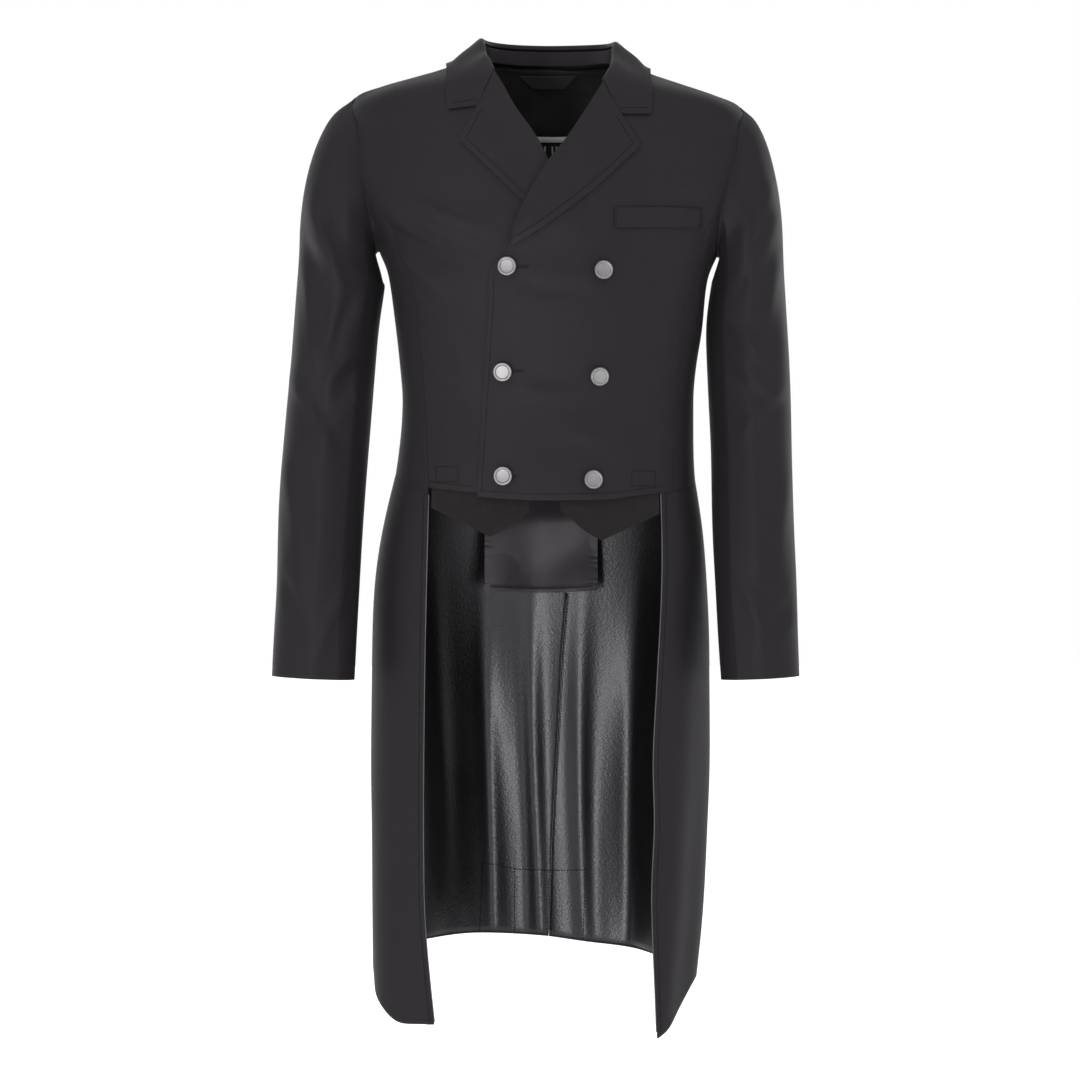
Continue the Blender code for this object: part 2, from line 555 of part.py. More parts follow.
def front_border(side):
    """Shoulder end of the neckline, gorge, roll line and front edge."""
    neck = np.array([(side * ring("half_width", NECK_SIDE_Z), NECK_SIDE_Z), *NECKLINE[side]])
    neck[0, 1] -= lean(*neck[0])
    edge = [(row[EDGE_COLUMNS.index(side_name(side))], row[0]) for row in FRONT_EDGE]
    outline = np.concatenate([neck, ROLL[side][1:], edge[1:]])
    total = ARMHOLE_ROWS + PRINCESS_ROWS
    points = through(outline, even(total))
    turn, level = turn_of(points[:, 0], points[:, 1], FRONT)
    turn[0], level[0] = side * math.pi / 2, NECK_SIDE_Z
    level[-1] = waist(turn[-1])
    return turn, level


def lap_lift(turn, level):
    """How far the left front stands off the body to clear what it covers."""
    base = body(turn, level)
    under = np.concatenate([ROLL[RIGHT], [(row[1], row[0]) for row in FRONT_EDGE[1:]]])
    edge = smooth(under[::-1, 1], under[::-1, 0], base[..., 2])
    lift = smooth(column(LAP, LAP_COLUMNS, "z"), column(LAP, LAP_COLUMNS, "lift"), base[..., 2])
    full = edge + LAP_MARGIN
    return lift * ramp(base[..., 0], full + LAP_FADE, full)


def lift_of(side, turn, level):
    """The lap's lift on the left, none on the right."""
    return lap_lift(turn, level) if side == LEFT else 0 * turn


def make_front(side):
    turn, level = rows_between(front_border(side), princess_border(side), FRONT_COLUMNS)
    level[-1] = waist(turn[-1])
    if side == LEFT:
        level[-1] -= LEFT_FRONT_DROP * ramp(np.degrees(turn[-1]), 40, 20)
    out = lift_of(side, turn, level)
    panel(f"front_{side_word(side)}", turn, level, out, CLOTH, BLACK_TWILL, columns=(False, True))


def make_side(side):
    front, back = princess_border(side), side_back_border(side)
    inner = (front[0][ARMHOLE_ROWS:], front[1][ARMHOLE_ROWS:])
    turn, level = rows_between(inner, back, SIDE_COLUMNS)
    top = armhole(side, np.linspace(PRINCESS_KNOT, SIDE_BACK_KNOT, SIDE_COLUMNS + 1))
    fade = (1 - even(PRINCESS_ROWS)[:, None]) ** 3
    turn = turn + (top[0] - turn[0]) * fade
    level = level + (top[1] - level[0]) * fade
    level[-1] = waist(turn[-1])
    panel(f"side_{side_word(side)}", turn, level, 0.0, CLOTH, BLACK_TWILL)


def back_borders(side):
    """Centre-back seam, and the armhole with the side-back seam."""
    total = ARMHOLE_ROWS + PRINCESS_ROWS
    z = np.linspace(NECK_BACK_Z, waist(math.pi), total + 1)
    turn, _ = turn_of(centre_back(z), z, BACK)
    turn = np.where(turn * side < 0, turn + side * 2 * math.pi, turn)
    knots = np.linspace(ARMHOLE_KNOTS, SIDE_BACK_KNOT, ARMHOLE_ROWS + 1)
    top_turn, top_level = armhole(side, knots)
    low_turn, low_level = side_back_border(side)
    outer = (np.concatenate([top_turn, low_turn[1:]]), np.concatenate([top_level, low_level[1:]]))
    return (turn, z), outer


def back_grid(side):
    """Turn and level over one back, from the centre seam out, its top row round neck and shoulder."""
    inner, outer = back_borders(side)
    turn, level = rows_between(inner, outer, BACK_COLUMNS)
    order = np.arange(BACK_COLUMNS + 1)
    round_neck = np.clip(order / NECK_COLUMNS, 0, 1)
    along_seam = np.clip((order - NECK_COLUMNS) / (BACK_COLUMNS - NECK_COLUMNS), 0, 1)
    top_turn = inner[0][0] * (1 - round_neck) + side * math.pi / 2 * round_neck
    top_level = NECK_BACK_Z * (1 - round_neck) + NECK_SIDE_Z * round_neck
    top_level = top_level * (1 - along_seam) + level[0, -1] * along_seam
    fade = (1 - even(len(turn) - 1)[:, None]) ** 2.2
    turn = turn + (top_turn - turn[0]) * fade
    level = level + (top_level - level[0]) * fade
    level[-1] = waist(turn[-1])
    return turn, level


def make_back(side):
    turn, level = back_grid(side)
    panel(f"back_{side_word(side)}", turn, level, 0.0, CLOTH, BLACK_TWILL)


def sleeve_rings(side):
    """The sleeve's outer surface: a grid of rings from the armhole to the cuff."""
    knots = np.concatenate([np.linspace(0, PRINCESS_KNOT, ARMHOLE_ROWS + 1)[:-1],
                            np.linspace(PRINCESS_KNOT, SIDE_BACK_KNOT, SIDE_COLUMNS + 1)[:-1],
                            np.linspace(SIDE_BACK_KNOT, ARMHOLE_KNOTS, ARMHOLE_ROWS + 1)[:-1]])
    turn, level = armhole(side, knots)
    phase = 2 * math.pi * knots / ARMHOLE_KNOTS
    top, low = np.maximum(np.cos(phase), 0), np.maximum(-np.cos(phase), 0)
    start = skin(turn, level, CLOTH)
    start[:, 0] += side * (SLEEVE_CLEAR + UNDERARM_CLEAR * ramp(low, 0.2, 0.9))
    start[:, 2] -= TIP_CLEAR * top
    z, outer, inner, mid_y, deep = (column(SLEEVE[side], SLEEVE_COLUMNS, n) for n in SLEEVE_COLUMNS)
    tilt = SLEEVE_TILT + (CUFF_TILT - SLEEVE_TILT) * ramp(z, z[0], z[2])
    rings = []
    for k in range(len(z)):
        middle, half = (outer[k] + inner[k]) / 2, abs(outer[k] - inner[k]) / 2
        x = middle + side * half * np.cos(phase)
        y = mid_y[k] - deep[k] * np.sin(phase)
        height = z[k] + tilt[k] * half * np.cos(phase)
        rings.append(np.stack([x, y, height], axis=-1))
    first = rings[0]
    reach = SIDE_REACH + (CAP_REACH[side] - SIDE_REACH) * top + (UNDERARM_REACH - SIDE_REACH) * low
    drop = CAP_DROP + CAP_DROP_CHANGE * (top - low)
    leave = np.stack([side * reach, -CAP_SWING * np.sin(phase), -CAP_SLOPE * reach * top], axis=-1)
    arrive = np.stack([0 * drop, 0 * drop, -drop], axis=-1)
    cap = []
    for s in even(CAP_ROWS)[:-1]:
        h = (2 * s**3 - 3 * s**2 + 1, s**3 - 2 * s**2 + s, 3 * s**2 - 2 * s**3, s**3 - s**2)
        cap.append(h[0] * start + h[1] * leave + h[2] * first + h[3] * arrive)
    tube = np.array(cap + rings)
    normal = grid_normals(tube, closed=True)
    if (normal[-1, 0, 0] * side) < 0:
        normal = -normal
    fade = np.ones(len(tube))
    fade[0], fade[-1] = 0.0, 0.3
    tube = tube + normal * (fold_height(tube, normal) * fade[:, None])[..., None]
    return tube, normal


def make_sleeve(side):
    """Top and under sleeve, parted along the front and the hind seam."""
    tube, normal = sleeve_rings(side)
    around = tube.shape[1]
    top = [i % around for i in range(HIND_SLEEVE_SEAM, around + FRONT_SLEEVE_SEAM + 1)]
    under = list(range(FRONT_SLEEVE_SEAM, HIND_SLEEVE_SEAM + 1))
    for name, pick in (("sleeve_top", top), ("sleeve_under", under)):
        far, near = tube[:, pick], (tube - normal * CLOTH)[:, pick]
        near, far = (inset(grid, (False, False)) for grid in (near, far))
        wall(f"{name}_{side_word(side)}", near, far, BLACK_TWILL)


def lapel_out(side, across, down):
    """How far a lapel stands off its front: a soft roll at the fold, then flat."""
    roll = np.exp(-((across / LAPEL_ROLL_WIDTH) ** 2)) * (1 - LAPEL_ROLL_FADE * down)
    covered = ramp(down, 0.72, 0.62) if side == RIGHT else 1.0
    return CLOTH + LAY + LAPEL_ROLL * roll * covered


def lapel_grid(side):
    """Places across and down a lapel: x, z and how far each stands off the body."""
    roll = through(ROLL[side], even(LAPEL_ROWS) * LAPEL_ROLL_SHARE[side])
    edge = through(LAPEL_EDGE[side], even(LAPEL_ROWS))
    across, down = even(LAPEL_COLUMNS)[None, :], even(LAPEL_ROWS)[:, None]
    plan = roll[:, None] * (1 - across[..., None]) + edge[:, None] * across[..., None]
    return plan, lapel_out(side, across, down)


def make_lapel(side):
    plan, out = lapel_grid(side)
    turn, level = turn_of(plan[..., 0], plan[..., 1], FRONT)
    out = out + lift_of(side, turn, level)
    name = f"lapel_{side_word(side)}"
    panel(name, turn, level, out, LAPEL_CLOTH, BLACK_TWILL, (True, False), (False, False))


def collar_lines():
    """Fold, outer edge and neck seam of the collar at each of its stations."""
    share = even(COLLAR_STATIONS)
    order = even(len(COLLAR) - 1)
    read = {name: column(COLLAR, COLLAR_COLUMNS, name) for name in COLLAR_COLUMNS}
    fold = np.stack([read["fold_x"], read["fold_y"], read["fold_z"]], axis=-1)
    edge = seen(read["edge_x"], read["edge_z"], 0.0, read["face"])
    seam = seen(read["seam_x"], read["seam_z"], 0.0, read["face"])
    return [np.stack([smooth(order, axis, share) for axis in line.T], axis=-1)
            for line in (fold, edge, seam)]


def collar_end(side):
    """The collar's end: sewn to the lapel from the gorge to the notch, then free to the corner."""
    gorge, tip = np.array(ROLL[side][0]), np.array(LAPEL_EDGE[side][0])
    across = np.arange(NOTCH_COLUMN + 1) / LAPEL_COLUMNS
    sewn = gorge + (tip - gorge) * across[:, None]
    free_count = len(COLLAR_SHARES) - 1 - NOTCH_COLUMN
    free = even(free_count)[1:, None]
    corner = sewn[-1] * (1 - free) + np.array(COLLAR_CORNER[side]) * free
    plan = np.concatenate([sewn, corner])
    lift = np.concatenate([lapel_out(side, across, 0.0), np.full(free_count, CLOTH + COLLAR_LAY)])
    return seen(plan[:, 0], plan[:, 1], lift)


def make_collar():
    """The turned-down collar, its fold lipped over the stand inside it."""
    fold, edge, seam = collar_lines()
    shares = np.array(COLLAR_SHARES)
    away = fold - np.array([0.0, 0.02, 0.0])
    away[:, 2] = 0
    away /= np.linalg.norm(away, axis=1, keepdims=True)
    bulge = 4 * shares * (1 - shares)
    grid = fold[:, None] * (1 - shares)[:, None] + edge[:, None] * shares[:, None]
    stations = even(COLLAR_STATIONS)
    grid = grid + away[:, None] * (COLLAR_BULGE * bulge)[:, None]
    for side, end in ((RIGHT, 0), (LEFT, -1)):
        near_end = ramp(stations, 0.16, 0.0) if side == RIGHT else ramp(stations, 0.84, 1.0)
        grid = grid + near_end[:, None, None] * (collar_end(side) - grid[end])
    inner = ramp(stations, 0.0, 0.1) * ramp(stations, 1.0, 0.9)
    grid = kept_off_body(grid, (CLOTH + COLLAR_LAY + COLLAR_EASE * inner)[:, None])
    keep = inner[:, None]
    lip = fold - away * COLLAR_LIP - np.array([0, 0, COLLAR_LIP_DROP])
    lip = lip * keep + (grid[:, 0] + (grid[:, 0] - grid[:, 1]) * COLLAR_LIP_REACH) * (1 - keep)
    crown = (lip + grid[:, 0]) / 2 + np.array([0, 0, COLLAR_CROWN]) * keep
    grid = np.concatenate([lip[:, None], crown[:, None], grid], axis=1)
    normal = grid_normals(grid)
    if (normal[COLLAR_STATIONS // 2, -2] * away[COLLAR_STATIONS // 2]).sum() < 0:
        normal = -normal
    near, far = grid, grid + normal * COLLAR_CLOTH
    wall("collar", inset(near, columns=(False, False)), inset(far, columns=(False, False)), BLACK_TWILL)
    make_stand(fold, seam, away)


def make_stand(fold, seam, away):
    """The collar's inner side, from the neck seam to just under the fold."""
    stations = even(COLLAR_STATIONS)
    keep = (stations > STAND_END) & (stations < 1 - STAND_END)
    low = seam[keep] + np.array([0, 0, STAND_RISE]) - away[keep] * STAND_CLOTH
    high = fold[keep] - away[keep] * STAND_SET - np.array([0, 0, STAND_DROP])
    share = np.array([0.0, 0.5, 1.0])
    grid = low[:, None] * (1 - share)[:, None] + high[:, None] * share[:, None]
    near, far = grid - away[keep][:, None] * STAND_CLOTH, grid
    wall("collar_stand", near, far, BLACK_TWILL)


def four_corner(corners, rows, columns):
    """Places inside four corners given clockwise from the top left."""
    corners = np.array(corners, float)
    down, across = even(rows)[:, None, None], even(columns)[None, :, None]
    top = corners[0] * (1 - across) + corners[1] * across
    foot = corners[3] * (1 - across) + corners[2] * across
    return top * (1 - down) + foot * down


def make_welt():
    plan = four_corner(WELT, LABEL_ROWS, LABEL_COLUMNS)
    turn, level = turn_of(plan[..., 0], plan[..., 1], FRONT)
    out = CLOTH + WELT_LAY
    panel("breast_welt", turn, level, out, CLOTH, BLACK_TWILL, (False, False), (False, False))


def make_label():
    plan = four_corner(LABEL, LABEL_ROWS, LABEL_COLUMNS)
    turn, level = turn_of(plan[..., 0], plan[..., 1], BACK)
    turn = np.where(turn < 0, turn + 2 * math.pi, turn)
    out = -(LINING_LAY + LINING_CLOTH + LABEL_LAY)
    panel("neck_label", turn, level, out, LABEL_CLOTH, BLACK_LINING, (False, False), (False, False))


def make_tail(side):
    """A tail from the waist to the hem, and the lining inside it, a little shorter and narrower."""
    down = even(TAIL_ROWS)[:, None]
    across = even(TAIL_COLUMNS)[None, :]
    level = TAIL_START_Z + (TAIL_END_Z - TAIL_START_Z) * down + 0 * across
    for _ in range(4):
        front, _ = seam_line(TAIL_EDGE, side_name(side), FRONT, level)
        back, _ = turn_of(centre_back(level), level, BACK)
        back = np.where(back * side < 0, back + side * 2 * math.pi, back)
        turn = front * (1 - across) + back * across
        top = waist(turn) - TAIL_CLEAR
        level = top * (1 - down) + round_height(HEM, HEM_COLUMNS, turn) * down
    sewn = ((True, False), (False, True))
    panel(f"tail_{side_word(side)}", turn, level, 0.0, CLOTH, BLACK_TWILL, *sewn)
    short = level + LINING_SHORT * down**6
    narrow = turn + side * np.radians(LINING_NARROW) * (1 - across) ** 8
    out = -(LAY + LINING_CLOTH)
    panel(f"tail_lining_{side_word(side)}", narrow, short, out, LINING_CLOTH, LEATHER_LINING, *sewn)


def make_waist_point(side):
    """A pointed felt piece that hangs just inside the front's hem."""
    rows = WAIST_POINT[side]
    order = even(len(rows) - 1)
    sizes = [column(rows, WAIST_POINT_COLUMNS, name) for name in WAIST_POINT_COLUMNS]
    x, top, foot = (np.interp(even(POINT_COLUMNS), order, size) for size in sizes)
    down = even(POINT_ROWS)[:, None]
    plan_z = top * (1 - down) + foot * down
    turn, level = turn_of(x + 0 * plan_z, plan_z, FRONT)
    out = -(LAY + POINT_CLOTH)
    name = f"waist_point_{side_word(side)}"
    panel(name, turn, level, out, POINT_CLOTH, FELT, (False, False), (False, False))


def make_linings():
    """Neck facing and back lining inside the backs, on the backs' own grid."""
    left_turn, left_level = back_grid(LEFT)
    right_turn, right_level = back_grid(RIGHT)
    turn = np.concatenate([left_turn[:, ::-1], right_turn[:, 1:] + 2 * math.pi], axis=1)
    level = np.concatenate([left_level[:, ::-1], right_level[:, 1:]], axis=1)
    out = -(LINING_LAY + LINING_CLOTH)
    facing = slice(0, FACING_ROWS + 1)
    rest = list(range(FACING_ROWS, len(turn), 2))
    for name, pick in (("neck_facing", facing), ("back_lining", rest)):
        panel(name, turn[pick], level[pick], out, LINING_CLOTH, BLACK_LINING)


def make_flap():
    """The satin flap that hangs from the waist, inside the back."""
    drop, along = even(FLAP_ROWS)[:, None], even(FLAP_COLUMNS)[None, :]
    x = FLAP_RIGHT_X * (1 - along) + FLAP_LEFT_X * along + 0 * drop
    foot = FLAP_FOOT_Z - FLAP_SAG * np.sin(math.pi * along)
    turn, level = turn_of(x, FLAP_TOP_Z + 0 * x, BACK)
    turn = np.where(turn < 0, turn + 2 * math.pi, turn)
    far = skin(turn, level, -(LINING_CLOTH + FLAP_LAY))
    far[..., 2] = FLAP_TOP_Z * (1 - drop) + foot * drop
    far[..., 1] -= FLAP_SWAY * np.sin(2 * math.pi * FLAP_WAVES * along) * drop
    near = far.copy()
    near[..., 1] -= LINING_CLOTH
    wall("lining_flap", near, far, SATIN)


def button_profile():
    """A shank button's half outline: radius and height from its foot to the middle of its dome."""
    rim, top = BUTTON_RADIUS, SHANK_HEIGHT + BUTTON_HEIGHT
    return ((0.0, 0.0), (SHANK_RADIUS, 0.0), (SHANK_RADIUS, SHANK_HEIGHT), (rim * 0.86, SHANK_HEIGHT),
            (rim, SHANK_HEIGHT + BUTTON_HEIGHT * 0.35), (rim * 0.97, SHANK_HEIGHT + BUTTON_HEIGHT * 0.75),
            (rim * 0.86, SHANK_HEIGHT + BUTTON_HEIGHT * 0.80), (rim * 0.50, top),
            (0.0, top + BUTTON_HEIGHT * 0.05))


def make_button(number, x, z):
    """A domed shank button, turned about the coat's normal."""
    turn, level = turn_of(np.array(x), np.array(z), FRONT)
    seat = skin(turn, level, CLOTH + BUTTON_SEAT + lap_lift(turn, level))
    axis = body_normal(turn, level)
    across = np.cross(axis, [0.0, 0.0, 1.0])
    across /= np.linalg.norm(across)
    up = np.cross(across, axis)
    profile = button_profile()
    points = [seat + axis * profile[0][1]]
    for radius, height in profile[1:-1]:
        for k in range(BUTTON_SIDES):
            angle = 2 * math.pi * k / BUTTON_SIDES
            points.append(seat + axis * height + (across * math.cos(angle) + up * math.sin(angle)) * radius)
    points.append(seat + axis * profile[-1][1])
    rings, last = len(profile) - 2, len(points) - 1
    top = 1 + (rings - 1) * BUTTON_SIDES
    faces = []
    for k in range(BUTTON_SIDES):
        after = (k + 1) % BUTTON_SIDES
        faces.append((0, 1 + k, 1 + after))
        for a in range(1, top, BUTTON_SIDES):
            b = a + BUTTON_SIDES
            faces.append((a + k, b + k, b + after, a + after))
        faces.append((top + k, last, top + after))
    place(f"button_{number}", points, facing_out(points, faces), PEWTER)


def main():
    """Builds every piece, in an empty scene."""
    for obj in list(bpy.data.objects):
        bpy.data.objects.remove(obj, do_unlink=True)
    for side in (RIGHT, LEFT):
        make_front(side)
        make_side(side)
        make_back(side)
        make_sleeve(side)
        make_lapel(side)
        make_tail(side)
        make_waist_point(side)
    make_collar()
    make_welt()
    make_label()
    make_linings()
    make_flap()
    for number, (x, z) in enumerate(BUTTONS, start=1):
        make_button(number, x, z)


main()
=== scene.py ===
"""Looks of the tailcoat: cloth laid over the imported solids, its stitching, trims, linings and buttons.

Metres, +Z up, the coat's front towards -Y, the wearer's left towards +X. Every cloth piece starts from
its own solid, is rounded by subdivision, takes its creases from one field for the whole coat, and gets
a "cut" UV map that runs along the cloth, which its weave follows.
"""

import heapq
import logging
import math
from contextlib import contextmanager
from dataclasses import dataclass, field
from enum import Enum
from typing import Any, Callable, Iterator, Sequence

import bmesh
import bpy
import numpy as np
from bpy.types import Material, Mesh, Node, NodeSocket, Object, World
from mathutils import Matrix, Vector
from mathutils.bvhtree import BVHTree

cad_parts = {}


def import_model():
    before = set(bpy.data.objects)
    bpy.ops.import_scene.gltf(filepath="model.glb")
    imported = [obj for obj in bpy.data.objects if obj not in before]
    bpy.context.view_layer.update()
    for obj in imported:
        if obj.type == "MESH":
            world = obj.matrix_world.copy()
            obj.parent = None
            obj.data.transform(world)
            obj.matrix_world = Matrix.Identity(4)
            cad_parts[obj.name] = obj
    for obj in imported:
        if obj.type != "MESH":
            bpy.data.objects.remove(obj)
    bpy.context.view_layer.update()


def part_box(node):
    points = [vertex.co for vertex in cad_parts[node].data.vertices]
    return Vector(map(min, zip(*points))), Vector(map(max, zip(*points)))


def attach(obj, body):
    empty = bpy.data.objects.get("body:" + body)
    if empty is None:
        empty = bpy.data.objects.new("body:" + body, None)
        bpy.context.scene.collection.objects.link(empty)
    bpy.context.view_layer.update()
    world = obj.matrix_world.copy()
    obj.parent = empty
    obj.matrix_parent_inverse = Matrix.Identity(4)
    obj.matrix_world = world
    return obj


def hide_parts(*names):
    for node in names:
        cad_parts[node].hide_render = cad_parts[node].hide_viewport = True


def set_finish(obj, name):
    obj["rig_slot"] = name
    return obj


LOG = logging.getLogger("tailcoat")
WAVE_PERIOD = 2 * math.pi / 20
Point = tuple[float, float, float]
Spot = tuple[float, float]
Colour = tuple[float, float, float]


class Side(Enum):
    """The wearer's side, with its sign along X."""

    RIGHT = -1
    LEFT = 1

    @property
    def word(self) -> str:
        """The side's word in a node's name."""
        return self.name.lower()


class Face(Enum):
    """The side that a crease is seen from, with its sign along Y."""

    FRONT = -1
    BACK = 1


class Sheet(Enum):
    """One of a cloth wall's two surfaces, with its sign along the outward direction."""

    OUTER = 1
    INNER = -1


def per_side(right: Any, left: Any) -> Any:
    """A dataclass field with one value for each of the wearer's sides."""
    return field(default_factory=lambda: {Side.RIGHT: right, Side.LEFT: left})


def ramp(value: np.ndarray, start: float, end: float) -> np.ndarray:
    """A soft step.

    Args:
        value: Where the step is read.
        start: Value at which it is 0.
        end: Value at which it is 1.

    Returns:
        The step's height at each value.
    """
    share = np.clip((np.asarray(value, float) - start) / (end - start), 0.0, 1.0)
    return share * share * (3 - 2 * share)


def unit(vectors: np.ndarray) -> np.ndarray:
    """The vectors at length 1."""
    return vectors / np.maximum(np.linalg.norm(vectors, axis=-1, keepdims=True), 1e-12)


def heading(line: np.ndarray) -> np.ndarray:
    """The way that a line runs at each of its points."""
    return unit(np.gradient(line, axis=0))


@dataclass(frozen=True)
class Crease:
    """A soft ridge, or a trough where its height is below zero, as seen from one face.

    Its sway and its hollow are in widths, and its ends in shares of its length.
    """

    start: Spot
    end: Spot
    width: float
    height: float
    face: Face
    sway: float = 0.18
    sway_turn: float = 7.0
    starts: Spot = (-0.12, 0.30)
    stops: Spot = (1.12, 0.65)
    turned_away: Spot = (0.05, 0.45)
    hollow_depth: float = 0.45
    hollow_place: float = 1.9
    hollow_width: float = 1.1

    def rise(self, points: np.ndarray, outward: np.ndarray) -> np.ndarray:
        """How far the crease moves the cloth.

        Args:
            points: Places on the cloth, one row each.
            outward: The cloth's outward direction there.

        Returns:
            The move along the outward direction, in metres.
        """
        first, run = np.array(self.start), np.array(self.end) - np.array(self.start)
        length = np.linalg.norm(run)
        spots = points[:, [0, 2]] - first
        along = spots @ (run / length)
        off = spots @ np.array([-run[1], run[0]]) / length
        off = off + self.sway * self.width * np.sin(self.sway_turn * along / length + 40 * self.start[0])
        ends = (ramp(along, *(share * length for share in self.starts))
                * ramp(along, *(share * length for share in self.stops)))
        facing = ramp(self.face.value * outward[:, 1], *self.turned_away)
        swell = np.exp(-((off / self.width) ** 2))
        hollow = (off - self.hollow_place * self.width) / (self.hollow_width * self.width)
        return self.height * (swell - self.hollow_depth * np.exp(-(hollow ** 2))) * ends * facing


def creases(face: Face, *rows: tuple[float, ...]) -> tuple[Crease, ...]:
    """Creases seen from one face, each from its start's x and z, its end's x and z, width and height."""
    return tuple(Crease(row[:2], row[2:4], *row[4:], face) for row in rows)


COAT_CREASES = creases(
    Face.FRONT,
    (-0.182, -0.128, -0.095, -0.178, 0.007, 0.0032), (-0.178, -0.160, -0.070, -0.222, 0.006, 0.0035),
    (-0.160, -0.150, -0.060, -0.196, 0.005, -0.0020), (-0.165, -0.190, -0.105, -0.262, 0.008, 0.0028),
    (-0.140, -0.262, -0.082, -0.330, 0.010, 0.0023), (-0.128, -0.340, -0.080, -0.420, 0.012, -0.0023),
    (0.178, -0.090, 0.100, -0.120, 0.008, 0.0028), (0.170, -0.150, 0.168, -0.190, 0.007, -0.0020),
    (0.150, -0.190, 0.080, -0.230, 0.009, 0.0023), (0.125, -0.240, 0.070, -0.330, 0.012, -0.0023),
    (0.120, -0.330, 0.020, -0.350, 0.010, 0.0017), (-0.035, -0.240, 0.045, -0.250, 0.009, -0.0016),
    (-0.040, -0.350, 0.040, -0.360, 0.010, 0.0016), (0.010, -0.385, 0.110, -0.430, 0.012, 0.0020),
) + creases(
    Face.BACK,
    (-0.150, -0.130, -0.060, -0.190, 0.010, 0.0027), (0.150, -0.125, 0.070, -0.180, 0.011, 0.0027),
    (-0.080, -0.330, 0.070, -0.345, 0.010, -0.0019), (-0.100, -0.385, 0.090, -0.372, 0.012, 0.0018),
    (-0.060, -0.420, 0.100, -0.412, 0.010, -0.0014), (-0.060, -0.050, 0.060, -0.050, 0.012, -0.0014),
)

SLEEVE_CREASES = {
    Side.RIGHT: creases(
        Face.FRONT,
        (-0.258, -0.150, -0.222, -0.240, 0.007, 0.0035), (-0.246, -0.120, -0.214, -0.200, 0.006, -0.0026),
        (-0.268, -0.190, -0.250, -0.330, 0.007, 0.0032), (-0.212, -0.240, -0.238, -0.330, 0.007, -0.0029),
        (-0.200, -0.300, -0.246, -0.345, 0.006, 0.0035), (-0.205, -0.335, -0.258, -0.395, 0.007, -0.0029),
        (-0.280, -0.330, -0.232, -0.420, 0.007, 0.0032), (-0.285, -0.420, -0.268, -0.540, 0.008, 0.0026),
        (-0.222, -0.560, -0.250, -0.640, 0.007, 0.0029), (-0.288, -0.545, -0.262, -0.620, 0.007, -0.0029),
    ) + creases(
        Face.BACK,
        (-0.284, -0.310, -0.215, -0.340, 0.008, -0.0035), (-0.280, -0.370, -0.215, -0.350, 0.007, 0.0029),
        (-0.285, -0.430, -0.225, -0.400, 0.009, -0.0026), (-0.262, -0.180, -0.228, -0.280, 0.010, 0.0029),
    ),
    Side.LEFT: creases(
        Face.FRONT,
        (0.246, -0.120, 0.212, -0.190, 0.007, 0.0032), (0.236, -0.160, 0.206, -0.250, 0.006, -0.0026),
        (0.252, -0.190, 0.228, -0.310, 0.008, 0.0029), (0.196, -0.280, 0.240, -0.320, 0.007, 0.0032),
        (0.192, -0.330, 0.246, -0.372, 0.007, -0.0029), (0.258, -0.340, 0.206, -0.400, 0.007, 0.0029),
        (0.258, -0.430, 0.244, -0.560, 0.009, 0.0022), (0.200, -0.540, 0.236, -0.625, 0.008, 0.0026),
        (0.262, -0.575, 0.226, -0.635, 0.007, -0.0024),
    ) + creases(
        Face.BACK,
        (0.262, -0.310, 0.196, -0.338, 0.008, -0.0035), (0.260, -0.372, 0.196, -0.352, 0.007, 0.0029),
        (0.262, -0.432, 0.206, -0.402, 0.009, -0.0026), (0.244, -0.180, 0.210, -0.280, 0.010, 0.0029),
    ),
}


@dataclass(frozen=True)
class BodyForm:
    """The coat's trunk and tails: a tall oval that the cloth stands round."""

    weave_face: Face = Face.BACK
    half_width: float = 0.178
    half_depth: float = 0.118
    armhole_across: Spot = (0.166, 0.190)
    armhole_up: Spot = (-0.245, -0.205)

    def outward(self, points: np.ndarray) -> np.ndarray:
        """The direction away from the oval's middle at these points."""
        return unit(np.stack([points[:, 0] / self.half_width**2, points[:, 1] / self.half_depth**2,
                              0 * points[:, 2]], axis=-1))

    def weave(self, points: np.ndarray) -> np.ndarray:
        """Places on the flat cloth, in metres: round the trunk, and down."""
        turn = np.arctan2(points[:, 0] / self.half_width,
                          self.weave_face.value * points[:, 1] / self.half_depth)
        return np.stack([turn * (self.half_width + self.half_depth) / 2, points[:, 2]], axis=-1)

    def free(self, points: np.ndarray) -> np.ndarray:
        """How freely the cloth creases here: not at all in the armhole seams."""
        return 1 - (ramp(np.abs(points[:, 0]), *self.armhole_across)
                    * ramp(points[:, 2], *self.armhole_up))


